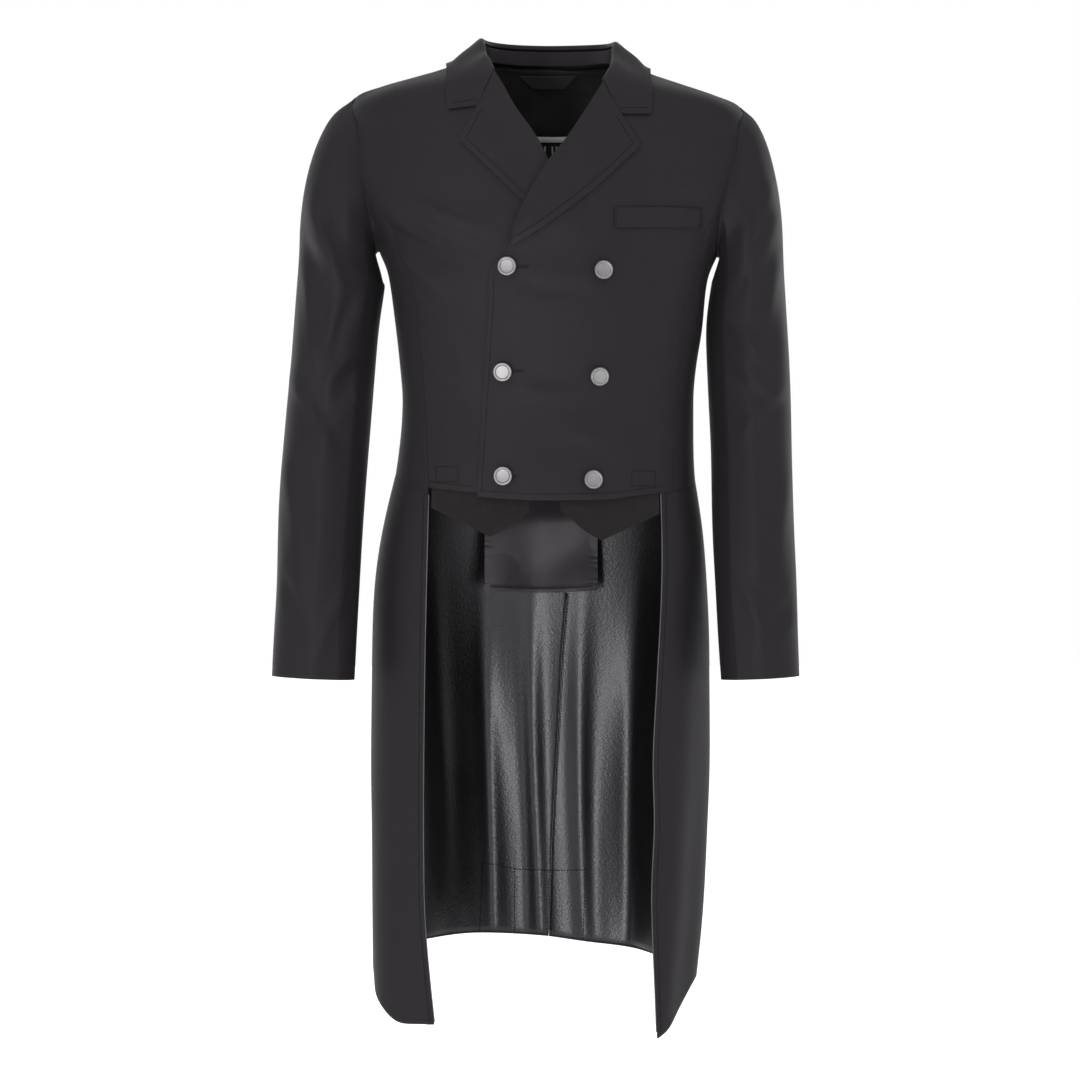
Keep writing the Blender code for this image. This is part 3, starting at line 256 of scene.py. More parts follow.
@dataclass(frozen=True)
class SleeveForm:
    """A sleeve: a bent tube with a round head."""

    side: Side
    heights: tuple[float, ...] = (-0.661, -0.560, -0.460, -0.360, -0.218)
    centres: tuple[Spot, ...] = (
        (0.2554, -0.042), (0.2505, -0.033), (0.2468, -0.020), (0.2394, -0.007), (0.2270, 0.002))
    lean_in: tuple[float, ...] = (0.0248, 0.0238, 0.0234, 0.0179, 0.0078)
    radius: float = 0.048
    armhole_across: Spot = (0.200, 0.232)
    armhole_up: Spot = (-0.245, -0.205)

    def centre(self, height: np.ndarray) -> np.ndarray:
        """The tube's middle at some heights.

        Args:
            height: The heights.

        Returns:
            The middle's x and y at each height.
        """
        spots = np.array(self.centres)
        if self.side is Side.LEFT:
            spots = spots - np.stack([np.array(self.lean_in), 0 * spots[:, 1]], axis=-1)
        x = np.interp(height, self.heights, spots[:, 0]) * self.side.value
        return np.stack([x, np.interp(height, self.heights, spots[:, 1])], axis=-1)

    def outward(self, points: np.ndarray) -> np.ndarray:
        """The direction away from the tube's line, or from the middle of its head, at these points."""
        away = points[:, :2] - self.centre(points[:, 2])
        above = np.maximum(points[:, 2] - self.heights[-1], 0)
        return unit(np.stack([away[:, 0], away[:, 1], above], axis=-1))

    def weave(self, points: np.ndarray) -> np.ndarray:
        """Places on the flat cloth, in metres: round the sleeve, and down."""
        away = points[:, :2] - self.centre(points[:, 2])
        turn = np.arctan2(away[:, 1], away[:, 0] * self.side.value)
        return np.stack([turn * self.radius, points[:, 2]], axis=-1)

    def free(self, points: np.ndarray) -> np.ndarray:
        """How freely the cloth creases here: not at all in the armhole seam."""
        clear = ramp(np.abs(points[:, 0]), *self.armhole_across)
        return 1 - (1 - clear) * ramp(points[:, 2], *self.armhole_up)


Form = BodyForm | SleeveForm


class Bench:
    """Adds and links the nodes of one material, or of the world."""

    def __init__(self, owner: Material | World, shader: str = "Principled BSDF") -> None:
        """Starts from the nodes that the owner gets by itself.

        Args:
            owner: The material or the world.
            shader: The name of its shader's node.
        """
        owner.use_nodes = True
        self.owner = owner
        self.tree = owner.node_tree
        self.shader = self.tree.nodes[shader]

    def add(self, kind: str, inputs: dict[str | int, Any] | None = None, **settings: Any) -> Node:
        """Adds a node.

        Args:
            kind: The node's type, without its ShaderNode prefix.
            inputs: Socket names or numbers, each with a value or with the socket that feeds it.
            **settings: The node's own settings.

        Returns:
            The new node.
        """
        node = self.tree.nodes.new("ShaderNode" + kind)
        for name, value in settings.items():
            setattr(node, name, value)
        for name, value in (inputs or {}).items():
            self.feed(node.inputs[name], value)
        return node

    def feed(self, socket: NodeSocket, value: Any) -> None:
        """Links the socket where the value is a socket, and sets it otherwise."""
        if isinstance(value, NodeSocket):
            self.tree.links.new(value, socket)
        else:
            socket.default_value = value

    def space(self) -> NodeSocket:
        """The coat's own space."""
        return self.add("TexCoord").outputs["Object"]

    def noise(self, scale: float, detail: float, where: NodeSocket | None = None, **inputs: float
              ) -> NodeSocket:
        """Noise.

        Args:
            scale: Its scale.
            detail: Its detail.
            where: Where it is read, if not in the coat's own space.
            **inputs: Its other inputs.

        Returns:
            The noise, from 0 to 1.
        """
        vector = self.space() if where is None else where
        return self.add("TexNoise", {"Vector": vector, "Scale": scale, "Detail": detail,
                                     **inputs}).outputs["Fac"]

    def threads(self, period: float, turn: float = 0.0, **inputs: float) -> NodeSocket:
        """Parallel threads on the flat cloth.

        Args:
            period: From one thread to the next, in metres.
            turn: Their turn on the cloth, in degrees.
            **inputs: The pattern's other inputs.

        Returns:
            The threads' height, from 0 to 1.
        """
        where = self.add("UVMap", uv_map="cut").outputs["UV"]
        if turn:
            turned = self.add("Mapping", {"Vector": where, "Rotation": (0, 0, math.radians(turn))})
            where = turned.outputs[0]
        return self.add("TexWave", {"Vector": where, "Scale": WAVE_PERIOD / period, **inputs}
                        ).outputs["Fac"]

    def join(self, operation: str, first: Any, second: Any) -> NodeSocket:
        """Two values joined by an operation."""
        return self.add("Math", {0: first, 1: second}, operation=operation).outputs[0]

    def mix(self, low: Colour, high: Colour, share: NodeSocket) -> NodeSocket:
        """A colour between two, by a share."""
        inputs = {6: (*low, 1.0), 7: (*high, 1.0), 0: share}
        return self.add("Mix", inputs, data_type="RGBA").outputs[2]

    def span(self, value: NodeSocket, low: float, high: float, start: float = 0.0, end: float = 1.0,
             **settings: str) -> NodeSocket:
        """A value spread between two others.

        Args:
            value: What is read.
            low: The result at the start.
            high: The result at the end.
            start: The value at the start.
            end: The value at the end.
            **settings: The node's own settings.

        Returns:
            The result.
        """
        inputs = {"Value": value, "From Min": start, "From Max": end, "To Min": low, "To Max": high}
        return self.add("MapRange", inputs, **settings).outputs["Result"]

    def bump(self, height: NodeSocket, depth: float, under: NodeSocket | None = None) -> NodeSocket:
        """A bumped normal.

        Args:
            height: The bumps, from 0 to 1.
            depth: Their depth, in metres.
            under: A normal that they are laid over.

        Returns:
            The new normal.
        """
        over = {} if under is None else {"Normal": under}
        return self.add("Bump", {"Height": height, "Strength": 1.0, "Distance": depth, **over}
                        ).outputs["Normal"]

    def dress(self, **sockets: Any) -> Material | World:
        """Feeds the shader's sockets, named with underscores for spaces, and returns the owner."""
        for name, value in sockets.items():
            self.feed(self.shader.inputs[name.replace("_", " ")], value)
        return self.owner


@dataclass(frozen=True)
class Twill:
    """Fine wool-like twill with a slight sheen."""

    name: str = "black_twill"
    dark: Colour = (0.0066, 0.0054, 0.0067)
    light: Colour = (0.0270, 0.0222, 0.0275)
    rib_period: float = 0.0011
    rib_turn: float = 52.0
    rib_depth: float = 0.00017
    tone: Spot = (0.75, 1.6)
    rough: Spot = (0.50, 0.62)

    def material(self) -> Material:
        """Diagonal ribs on the flat cloth, with an uneven yarn and a broad change of tone."""
        bench = Bench(bpy.data.materials.new(self.name))
        ribs = bench.threads(self.rib_period, self.rib_turn, Distortion=0.6, Detail=1.0)
        height = bench.join("MULTIPLY", ribs, bench.noise(scale=1400.0, detail=2.0))
        broad = bench.noise(scale=9.0, detail=3.0)
        shade = bench.join("MULTIPLY", height, bench.span(broad, *self.tone))
        return bench.dress(Base_Color=bench.mix(self.dark, self.light, shade),
                           Roughness=bench.span(broad, *self.rough),
                           Normal=bench.bump(height, self.rib_depth), Sheen_Weight=0.025,
                           Sheen_Roughness=0.45, Specular_IOR_Level=0.13)


@dataclass(frozen=True)
class LiningCloth:
    """Smooth black lining cloth."""

    name: str = "black_lining"
    dark: Colour = (0.0050, 0.0048, 0.0052)
    light: Colour = (0.0100, 0.0096, 0.0104)
    thread_period: float = 0.0007
    thread_depth: float = 0.00004
    rough: Spot = (0.42, 0.55)

    def material(self) -> Material:
        """A close plain weave that shines a little."""
        bench = Bench(bpy.data.materials.new(self.name))
        threads = bench.threads(self.thread_period, Distortion=0.4)
        broad = bench.noise(scale=30.0, detail=4.0)
        return bench.dress(Base_Color=bench.mix(self.dark, self.light, broad),
                           Roughness=bench.span(broad, *self.rough),
                           Normal=bench.bump(threads, self.thread_depth), Specular_IOR_Level=0.4)


@dataclass(frozen=True)
class Leather:
    """Soft black leather with a fine pebbled grain and long soft highlights."""

    name: str = "black_leather"
    dark: Colour = (0.0018, 0.0017, 0.0019)
    light: Colour = (0.0050, 0.0047, 0.0052)
    grain: float = 480.0
    grain_depth: float = 0.00014
    swell_depth: float = 0.0003
    rough: Spot = (0.31, 0.38)
    tint: Colour = (0.95, 0.93, 1.0)

    def material(self) -> Material:
        """Pebbles from cells, broken up by noise, over a broad change of polish."""
        bench = Bench(bpy.data.materials.new(self.name))
        cells = bench.add("TexVoronoi", {"Vector": bench.space(), "Scale": self.grain},
                          feature="SMOOTH_F1").outputs["Distance"]
        pebbles = bench.join("ADD", cells, bench.noise(scale=260.0, detail=5.0))
        broad = bench.noise(scale=12.0, detail=1.0)
        swell = bench.bump(broad, self.swell_depth)
        return bench.dress(Base_Color=bench.mix(self.dark, self.light, broad),
                           Roughness=bench.span(broad, *self.rough),
                           Normal=bench.bump(pebbles, self.grain_depth, swell),
                           Specular_IOR_Level=0.42, Specular_Tint=(*self.tint, 1.0))


@dataclass(frozen=True)
class Felt:
    """Matte black felt."""

    name: str = "black_felt"
    dark: Colour = (0.0090, 0.0070, 0.0075)
    light: Colour = (0.0210, 0.0175, 0.0180)
    fibre_depth: float = 0.00030

    def material(self) -> Material:
        """Matted fibres with no gloss."""
        bench = Bench(bpy.data.materials.new(self.name))
        fibres = bench.noise(scale=1100.0, detail=6.0, Roughness=0.7)
        share = bench.join("MULTIPLY", fibres, bench.noise(scale=120.0, detail=3.0))
        return bench.dress(Base_Color=bench.mix(self.dark, self.light, share), Roughness=0.95,
                           Normal=bench.bump(fibres, self.fibre_depth), Sheen_Weight=0.04,
                           Sheen_Roughness=0.6, Specular_IOR_Level=0.10)


@dataclass(frozen=True)
class Satin:
    """Satin: long threads that shine across, in one colour."""

    name: str
    dark: Colour
    light: Colour
    rough: float = 0.30
    rough_range: Spot = (0.85, 1.2)
    thread_period: float = 0.0006
    thread_depth: float = 0.00003
    swell_depth: float = 0.0006
    tint: Colour = (1.0, 0.93, 1.0)

    def material(self) -> Material:
        """Close threads on the flat cloth and a faint change of tone."""
        bench = Bench(bpy.data.materials.new(self.name))
        threads = bench.threads(self.thread_period, Distortion=1.2, Detail=2.0)
        broad = bench.noise(scale=26.0, detail=2.0)
        low, high = (self.rough * share for share in self.rough_range)
        swell = bench.bump(broad, self.swell_depth)
        return bench.dress(Base_Color=bench.mix(self.dark, self.light, broad),
                           Normal=bench.bump(threads, self.thread_depth, swell),
                           Roughness=bench.span(broad, low, high), Anisotropic=0.35,
                           Specular_IOR_Level=0.22, Specular_Tint=(*self.tint, 1.0))


@dataclass(frozen=True)
class Metal:
    """Pewter with a fine brushed face and small dull spots."""

    name: str = "pewter"
    dark: Colour = (0.17, 0.165, 0.17)
    light: Colour = (0.30, 0.295, 0.30)
    rough: Spot = (0.42, 0.54)
    brushing: Point = (600.0, 600.0, 5000.0)
    brush_depth: float = 0.00002

    def material(self) -> Material:
        """Brushing and spots, in colour and in polish."""
        bench = Bench(bpy.data.materials.new(self.name))
        spots = bench.noise(scale=420.0, detail=5.0)
        stretched = bench.add("Mapping", {"Vector": bench.space(), "Scale": self.brushing}).outputs[0]
        brushed = bench.noise(scale=1.0, detail=3.0, where=stretched)
        return bench.dress(Base_Color=bench.mix(self.dark, self.light, spots), Metallic=1.0,
                           Roughness=bench.span(spots, *self.rough),
                           Normal=bench.bump(brushed, self.brush_depth))


@dataclass(frozen=True)
class Thread:
    """Twisted sewing thread."""

    name: str = "thread"
    # Both colours lie below the cloth's: the black thread's own colour, deepened with painted shade of needle
    # holes and stitch dents.
    dark: Colour = (0.0010, 0.0009, 0.0011)
    light: Colour = (0.0040, 0.0036, 0.0042)
    twist_depth: float = 0.00005

    def material(self) -> Material:
        """A fine twist of dark and less dark fibre, both below the cloth's colour: partly the black thread's
        own, partly painted shade of needle holes and stitch dents.
        """
        bench = Bench(bpy.data.materials.new(self.name))
        twist = bench.noise(scale=2600.0, detail=2.0)
        return bench.dress(Base_Color=bench.mix(self.dark, self.light, twist), Roughness=0.6,
                           Normal=bench.bump(twist, self.twist_depth), Specular_IOR_Level=0.12)


class Finishes:
    """The coat's materials, each made once."""

    def __init__(self) -> None:
        """Makes every material."""
        self.twill = Twill().material()
        self.lining = LiningCloth().material()
        self.leather = Leather().material()
        self.felt = Felt().material()
        self.satin = Satin("dark_satin", (0.017, 0.0145, 0.0175), (0.034, 0.029, 0.035), 0.36).material()
        # The neck piping's own grey; on the lining pleats this same light grey is painted highlight.
        self.piping = Satin("grey_satin", (0.40, 0.38, 0.38), (0.62, 0.60, 0.60), 0.40).material()
        # Light grey satin for the tails' front-edge piping: painted highlight along a shiny black edge.
        self.edging = Satin("edge_satin", (0.045, 0.044, 0.047), (0.11, 0.108, 0.112), 0.45).material()
        self.label = Satin("label_weave", (0.020, 0.020, 0.0215), (0.036, 0.036, 0.038), 0.42).material()
        self.metal = Metal().material()
        self.thread = Thread().material()
        self.edge_thread = Thread("edge_thread", (0.05, 0.05, 0.052), (0.16, 0.16, 0.165)).material()


def select_only(obj: Object) -> None:
    """Makes the object the only selected and the active one."""
    bpy.ops.object.select_all(action="DESELECT")
    obj.select_set(True)
    bpy.context.view_layer.objects.active = obj


@contextmanager
def editing(obj: Object) -> Iterator[None]:
    """Holds the object in edit mode, with all of its mesh selected."""
    select_only(obj)
    bpy.ops.object.mode_set(mode="EDIT")
    bpy.ops.mesh.select_all(action="SELECT")
    yield
    bpy.ops.object.mode_set(mode="OBJECT")


def smooth(obj: Object, under: float) -> None:
    """Shades the object smooth, except at edges that turn by more than this many degrees."""
    select_only(obj)
    bpy.ops.object.shade_smooth_by_angle(angle=math.radians(under))


def link(name: str, mesh: Mesh, material: Material) -> Object:
    """A new object at the origin.

    Args:
        name: Its name.
        mesh: Its mesh.
        material: Its only finish.

    Returns:
        The object.
    """
    obj = bpy.data.objects.new(name, mesh)
    bpy.context.scene.collection.objects.link(obj)
    mesh.materials.clear()
    mesh.materials.append(material)
    return obj


def apply(obj: Object, kind: str, **settings: Any) -> None:
    """Adds a modifier to the object and applies it.

    Args:
        obj: The piece.
        kind: The modifier's type.
        **settings: The modifier's settings.
    """
    select_only(obj)
    modifier = obj.modifiers.new(kind.lower(), kind)
    for name, value in settings.items():
        setattr(modifier, name, value)
    bpy.ops.object.modifier_apply(modifier=modifier.name)


def hand_over(obj: Object, slot: str, node: str = "") -> Object:
    """Puts a finished piece on the coat's body and reports it.

    Args:
        obj: The piece.
        slot: The record's material slot.
        node: The solid that it replaces, if any.

    Returns:
        The piece.
    """
    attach(obj, "root")
    if node:
        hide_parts(node)
    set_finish(obj, slot)
    LOG.info("%s: %d faces", obj.name, len(obj.data.polygons))
    return obj


def places(mesh: Mesh) -> np.ndarray:
    """The mesh's points, one row each."""
    flat = np.empty(len(mesh.vertices) * 3, np.float32)
    mesh.vertices.foreach_get("co", flat)
    return flat.reshape(-1, 3).astype(float)


def move_points(mesh: Mesh, points: np.ndarray) -> None:
    """Puts the mesh's points at these places."""
    mesh.vertices.foreach_set("co", points.astype(np.float32).ravel())
    mesh.update()


def map_cut(mesh: Mesh, flat: np.ndarray) -> None:
    """Gives the mesh the one map that its weave follows.

    Args:
        mesh: The mesh.
        flat: Each point's place on the flat cloth, in metres.
    """
    while mesh.uv_layers:
        mesh.uv_layers.remove(mesh.uv_layers[0])
    corners = np.empty(len(mesh.loops), np.int32)
    mesh.loops.foreach_get("vertex_index", corners)
    mesh.uv_layers.new(name="cut").uv.foreach_set("vector", flat[corners].astype(np.float32).ravel())


def tree_of(mesh: Mesh) -> BVHTree:
    """A search tree over the mesh's faces."""
    corners = [tuple(point) for point in places(mesh)]
    return BVHTree.FromPolygons(corners, [tuple(face.vertices) for face in mesh.polygons])


class Rim:
    """The border lines of a cloth wall, on its outer and on its inner sheet."""

    def __init__(self, mesh: Mesh, form: Form, least_facing: float = 0.45) -> None:
        """Reads the creased edges of a subdivided wall and sorts them by sheet.

        Args:
            mesh: The wall.
            form: The shape that it stands round.
            least_facing: How squarely a sheet looks in or out, below which its edges are left out.
        """
        self.points = places(mesh)
        self.roads: dict[Sheet, dict[int, list[tuple[int, float]]]] = {sheet: {} for sheet in Sheet}
        shape = bmesh.new()
        shape.from_mesh(mesh)
        shape.normal_update()
        layer = shape.edges.layers.float.get("crease_edge")
        edges = [edge for edge in shape.edges if layer and edge[layer] > 0.5 and len(edge.link_faces) == 2]
        if edges:
            middles = np.array([(edge.verts[0].co + edge.verts[1].co) / 2 for edge in edges])
            normals = np.array([[face.normal for face in edge.link_faces] for edge in edges])
            facing = np.einsum("eij,ej->ei", normals, form.outward(middles))
            best = facing[np.arange(len(edges)), np.abs(facing).argmax(axis=1)]
            for edge, value in zip(edges, best):
                if abs(value) > least_facing:
                    self._join(Sheet.OUTER if value > 0 else Sheet.INNER, edge)
        shape.free()

    def _join(self, sheet: Sheet, edge: bmesh.types.BMEdge) -> None:
        """Adds an edge to the sheet's border, both ways."""
        ends = [vert.index for vert in edge.verts]
        for here, there in (ends, ends[::-1]):
            self.roads[sheet].setdefault(here, []).append((there, edge.calc_length()))

    def line(self, marks: Sequence[Point], sheet: Sheet = Sheet.OUTER) -> np.ndarray:
        """The border line that passes near these marks.

        Args:
            marks: Places near the border, in order.
            sheet: The surface whose border is followed.

        Returns:
            The line's points, one row each.
        """
        roads = self.roads[sheet]
        known = np.array(sorted(roads))
        spots = self.points[known]
        stops = [int(known[np.linalg.norm(spots - np.array(mark), axis=1).argmin()]) for mark in marks]
        route = [stops[0]]
        for start, end in zip(stops, stops[1:]):
            route += self._shortest(roads, start, end)[1:]
        return self.points[route]

    @staticmethod
    def _shortest(roads: dict[int, list[tuple[int, float]]], start: int, end: int) -> list[int]:
        """The shortest way along the border.

        Args:
            roads: The border's points, each with its neighbours and how far they are.
            start: The first point.
            end: The last point.

        Returns:
            The points on the way, with both ends.
        """
        best, came, queue = {start: 0.0}, {}, [(0.0, start)]
        while queue:
            length, here = heapq.heappop(queue)
            if here == end:
                break
            for there, step in roads.get(here, []):
                if length + step < best.get(there, math.inf):
                    best[there], came[there] = length + step, here
                    heapq.heappush(queue, (length + step, there))
        route = [end]
        while route[-1] != start and route[-1] in came:
            route.append(came[route[-1]])
        return route[::-1]


@dataclass(frozen=True)
class Cut:
    """One cloth piece as it is cut: its solid, its flat size and area, and how finely it is rounded."""

    node: str
    flat: Spot
    area: float
    wall: float = 0.0018
    levels: int = 3
    edge_round: float = 0.0004


@dataclass(frozen=True)
class Lay:
    """How a kind of cloth piece is laid: its form, finish and slot, its creases and any further move."""

    form: Form
    material: Material
    slot: str
    creases: Sequence[Crease] = ()
    shape: Callable[[np.ndarray, np.ndarray], np.ndarray] | None = None


class Piece:
    """A finished cloth piece, with its border lines and a search tree for what is sewn on it."""

    merge_reach: float = 2e-6
    fit_rounds: int = 4
    side_share: float = 1.5
    side_facing: float = 0.45
    corner: float = 40.0
    bevel_from: float = 55.0
    smooth_under: float = 60.0

    def __init__(self, cut: Cut, lay: Lay) -> None:
        """Makes the piece from its solid.

        Args:
            cut: The piece's cut.
            lay: How it is laid.
        """
        self.cut = cut
        self.form = lay.form
        self.obj = link(cut.node + "_cloth", bpy.data.objects[cut.node].data.copy(), lay.material)
        self._merge()
        self._crease_rim()
        self._fit()
        apply(self.obj, "SUBSURF", levels=cut.levels, render_levels=cut.levels)
        mesh = self.obj.data
        points = places(mesh)
        outward = self.form.outward(points)
        rise = sum((crease.rise(points, outward) for crease in lay.creases), np.zeros(len(points)))
        points = points + outward * (rise * self.form.free(points))[:, None]
        if lay.shape is not None:
            points = lay.shape(points, outward)
        move_points(mesh, points)
        self.rim = Rim(mesh, self.form)
        self.tree = tree_of(mesh)
        map_cut(mesh, self.form.weave(places(mesh)))
        apply(self.obj, "BEVEL", width=cut.edge_round, segments=2, limit_method="ANGLE",
              angle_limit=math.radians(self.bevel_from))
        smooth(self.obj, self.smooth_under)
        hand_over(self.obj, lay.slot, cut.node)

    def _merge(self) -> None:
        """Joins the solid's loose triangles into one skin of quads."""
        with editing(self.obj):
            bpy.ops.mesh.remove_doubles(threshold=self.merge_reach)
            bpy.ops.mesh.tris_convert_to_quads(face_threshold=math.pi, shape_threshold=math.pi,
                                               topology_influence=2.0)
        if self.obj.data.has_custom_normals:
            bpy.ops.mesh.customdata_custom_splitnormals_clear()

    def _crease_rim(self) -> None:
        """Keeps the wall's border crisp: its narrow side faces meet the two sheets in creased edges."""
        shape = bmesh.new()
        shape.from_mesh(self.obj.data)
        shape.normal_update()
        layer = shape.edges.layers.float.new("crease_edge")
        short = {edge for edge in shape.edges
                 if edge.calc_length() < self.side_share * self.cut.wall
                 and edge.verts[0].normal.dot(edge.verts[1].normal) < self.side_facing}
        narrow = {face for face in shape.faces if any(edge in short for edge in face.edges)}
        for edge in shape.edges:
            sides = [face in narrow for face in edge.link_faces]
            border = len(sides) == 2 and sides[0] != sides[1]
            if border or (edge in short and edge.calc_face_angle(0.0) > math.radians(self.corner)):
                edge[layer] = 1.0
        shape.to_mesh(self.obj.data)
        shape.free()

    def _fit(self) -> None:
        """Moves the cage until the rounded cloth passes through the solid's own corners."""
        mesh = self.obj.data
        wanted = places(mesh)
        modifier = self.obj.modifiers.new("fit", "SUBSURF")
        modifier.levels = 1
        for _ in range(self.fit_rounds):
            mesh.update_tag()
            bpy.context.view_layer.update()
            graph = bpy.context.evaluated_depsgraph_get()
            rounded = bpy.data.meshes.new_from_object(self.obj.evaluated_get(graph))
            move_points(mesh, places(mesh) + wanted - places(rounded)[:len(wanted)])
            bpy.data.meshes.remove(rounded)
        self.obj.modifiers.clear()

    def declare(self, *rests_on: str, sewn: Sequence[Object] = ()) -> None:
        """Does nothing: what the piece hangs from and what is sewn on it are not recorded.

        Args:
            *rests_on: The pieces that it hangs from; not used.
            sewn: What is sewn on it and goes with it; not used.
        """

    def on_surface(self, points: np.ndarray, lift: float = 0.0) -> tuple[np.ndarray, np.ndarray]:
        """The nearest places on the cloth.

        Args:
            points: The points that they are nearest to.
            lift: How far they are lifted off the cloth.

        Returns:
            The places, and the cloth's normals there.
        """
        hits = [self.tree.find_nearest(Vector(point)) for point in points]
        spots = np.array([hit[0] for hit in hits], float)
        normals = np.array([hit[1] for hit in hits], float)
        return spots + normals * lift, normals

    def seen(self, spots: Sequence[Spot]) -> np.ndarray:
        """The cloth's points seen from the front.

        Args:
            spots: Where they are looked for, as x and z.

        Returns:
            The points, without those that miss the cloth.
        """
        found = []
        for x, z in spots:
            hit = self.tree.ray_cast(Vector((x, -2.0, z)), Vector((0, 1, 0)))[0]
            if hit is not None:
                found.append(tuple(hit))
        return np.array(found, float)


def spaced(line: np.ndarray, pitch: float) -> np.ndarray:
    """Points at one spacing along a line.

    Args:
        line: The line's points.
        pitch: The spacing, which is stretched to end at the line's end.

    Returns:
        The new points.
    """
    steps = np.linalg.norm(np.diff(line, axis=0), axis=1)
    apart = steps > 1e-9
    line, steps = line[np.concatenate([[True], apart])], steps[apart]
    run = np.concatenate([[0.0], np.cumsum(steps)])
    at = np.linspace(0.0, run[-1], max(int(run[-1] / pitch), 1) + 1)
    return np.stack([np.interp(at, run, axis) for axis in line.T], axis=-1)


def straight(*corners: Spot, step: float = 0.003) -> list[Spot]:
    """Spots every few millimetres along straight lines through the corners."""
    return [tuple(spot) for spot in spaced(np.array(corners, float), step)]


def inside_line(piece: Piece, line: np.ndarray, inset: float) -> np.ndarray:
    """A line on the cloth that runs beside its border.

    Args:
        piece: The cloth.
        line: A stretch of its border.
        inset: How far inside the border the line runs.

    Returns:
        The line's points, trimmed where the border turns a corner.
    """
    line = spaced(line, 0.002)
    across = unit(np.cross(piece.form.outward(line), heading(line)))
    gaps = []
    for sign in (1, -1):
        probe = line + across * sign * inset
        gaps.append(np.linalg.norm(piece.on_surface(probe)[0] - probe, axis=1).mean())
    moved = line + across * inset * (1 if gaps[0] < gaps[1] else -1)
    moved = piece.on_surface(moved)[0]
    apart = np.linalg.norm(moved[:, None] - line[None], axis=2).min(axis=1)
    return moved[apart > 0.90 * inset]


def closed_piece(name: str, points: np.ndarray, faces: Sequence[Sequence[int]], material: Material,
                 flat: np.ndarray | None = None) -> Object:
    """A smooth closed piece whose faces all look outwards.

    Args:
        name: Its name.
        points: Its points, one row each.
        faces: The numbers of each face's points.
        material: Its finish.
        flat: Each point's place on the flat cloth, where its finish follows one.

    Returns:
        The piece.
    """
    mesh = bpy.data.meshes.new(name)
    mesh.from_pydata(points.tolist(), [], [tuple(int(i) for i in face) for face in faces])
    if flat is not None:
        map_cut(mesh, flat)
    obj = link(name, mesh, material)
    mesh.shade_smooth()
    with editing(obj):
        bpy.ops.mesh.normals_make_consistent(inside=False)
    return obj


@dataclass(frozen=True)
class Stitching:
    """Rows of single stitches, each a short bead of thread that dips into the cloth at both ends.

    The bead's rings are given by their place in stitch lengths, and their size and lift in radii.
    """

    pitch: float = 0.0030
    length: float = 0.0023
    radius: float = 0.00036
    sides: int = 5
    lift: float = 0.35
    bead: tuple[Point, ...] = ((-0.5, 0.25, -0.9), (-0.3, 1.0, 0.25), (0.3, 1.0, 0.25), (0.5, 0.25, -0.9))

    def beside(self, name: str, piece: Piece, marks: Sequence[Point], inset: float, material: Material,
               sheet: Sheet = Sheet.OUTER, slant: float = 0.0) -> Object:
        """Sews beside a stretch of a piece's border.

        Args:
            name: The row's name.
            piece: The cloth that carries it.
            marks: Places near the border, in order.
            inset: How far inside the border the row runs.
            material: The thread.
            sheet: The surface that is sewn.
            slant: Turn of each stitch from the line, in degrees.

        Returns:
            The stitches, as one object.
        """
        line = inside_line(piece, piece.rim.line(marks, sheet), inset)
        return self.row(name, piece, line, material, slant)

    def row(self, name: str, piece: Piece, line: np.ndarray, material: Material, slant: float = 0.0,
            resample: bool = True) -> Object:
        """Sews along a line on a piece.

        Args:
            name: The row's name.
            piece: The cloth that carries it.
            line: The line's points.
            material: The thread.
            slant: Turn of each stitch from the line, in degrees.
            resample: Whether the stitches are spread evenly, or one lies at each point given.

        Returns:
            The stitches, as one object.
        """
        at = spaced(line, self.pitch) if resample else line
        spots, normals = piece.on_surface(at, self.radius * self.lift)
        along = heading(spots)
        across = unit(np.cross(normals, along))
        turn = math.radians(slant)
        along, across = (along * math.cos(turn) + across * math.sin(turn),
                         across * math.cos(turn) - along * math.sin(turn))
        shares, sizes, dips = np.array(self.bead).T[..., None]
        shares, sizes, dips = shares * self.length, sizes * self.radius, dips * self.radius
        angle = 2 * math.pi * np.arange(self.sides) / self.sides
        rings = (spots[:, None, None] + along[:, None, None] * shares[..., None]
                 + normals[:, None, None] * (dips + sizes * np.sin(angle))[..., None]
                 + across[:, None, None] * (sizes * np.cos(angle))[..., None])
        faces = []
        block = len(self.bead) * self.sides
        for ring in range(0, block - self.sides, self.sides):
            for k in range(self.sides):
                a, b = ring + k, ring + (k + 1) % self.sides
                faces.append((a, b, b + self.sides, a + self.sides))
        faces += [tuple(range(self.sides))[::-1], tuple(range(block - self.sides, block))]
        everything = [[start + i for i in face] for start in range(0, len(spots) * block, block)
                      for face in faces]
        obj = closed_piece(name, rings.reshape(-1, 3), everything, material)
        return hand_over(obj, piece.obj["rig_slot"])


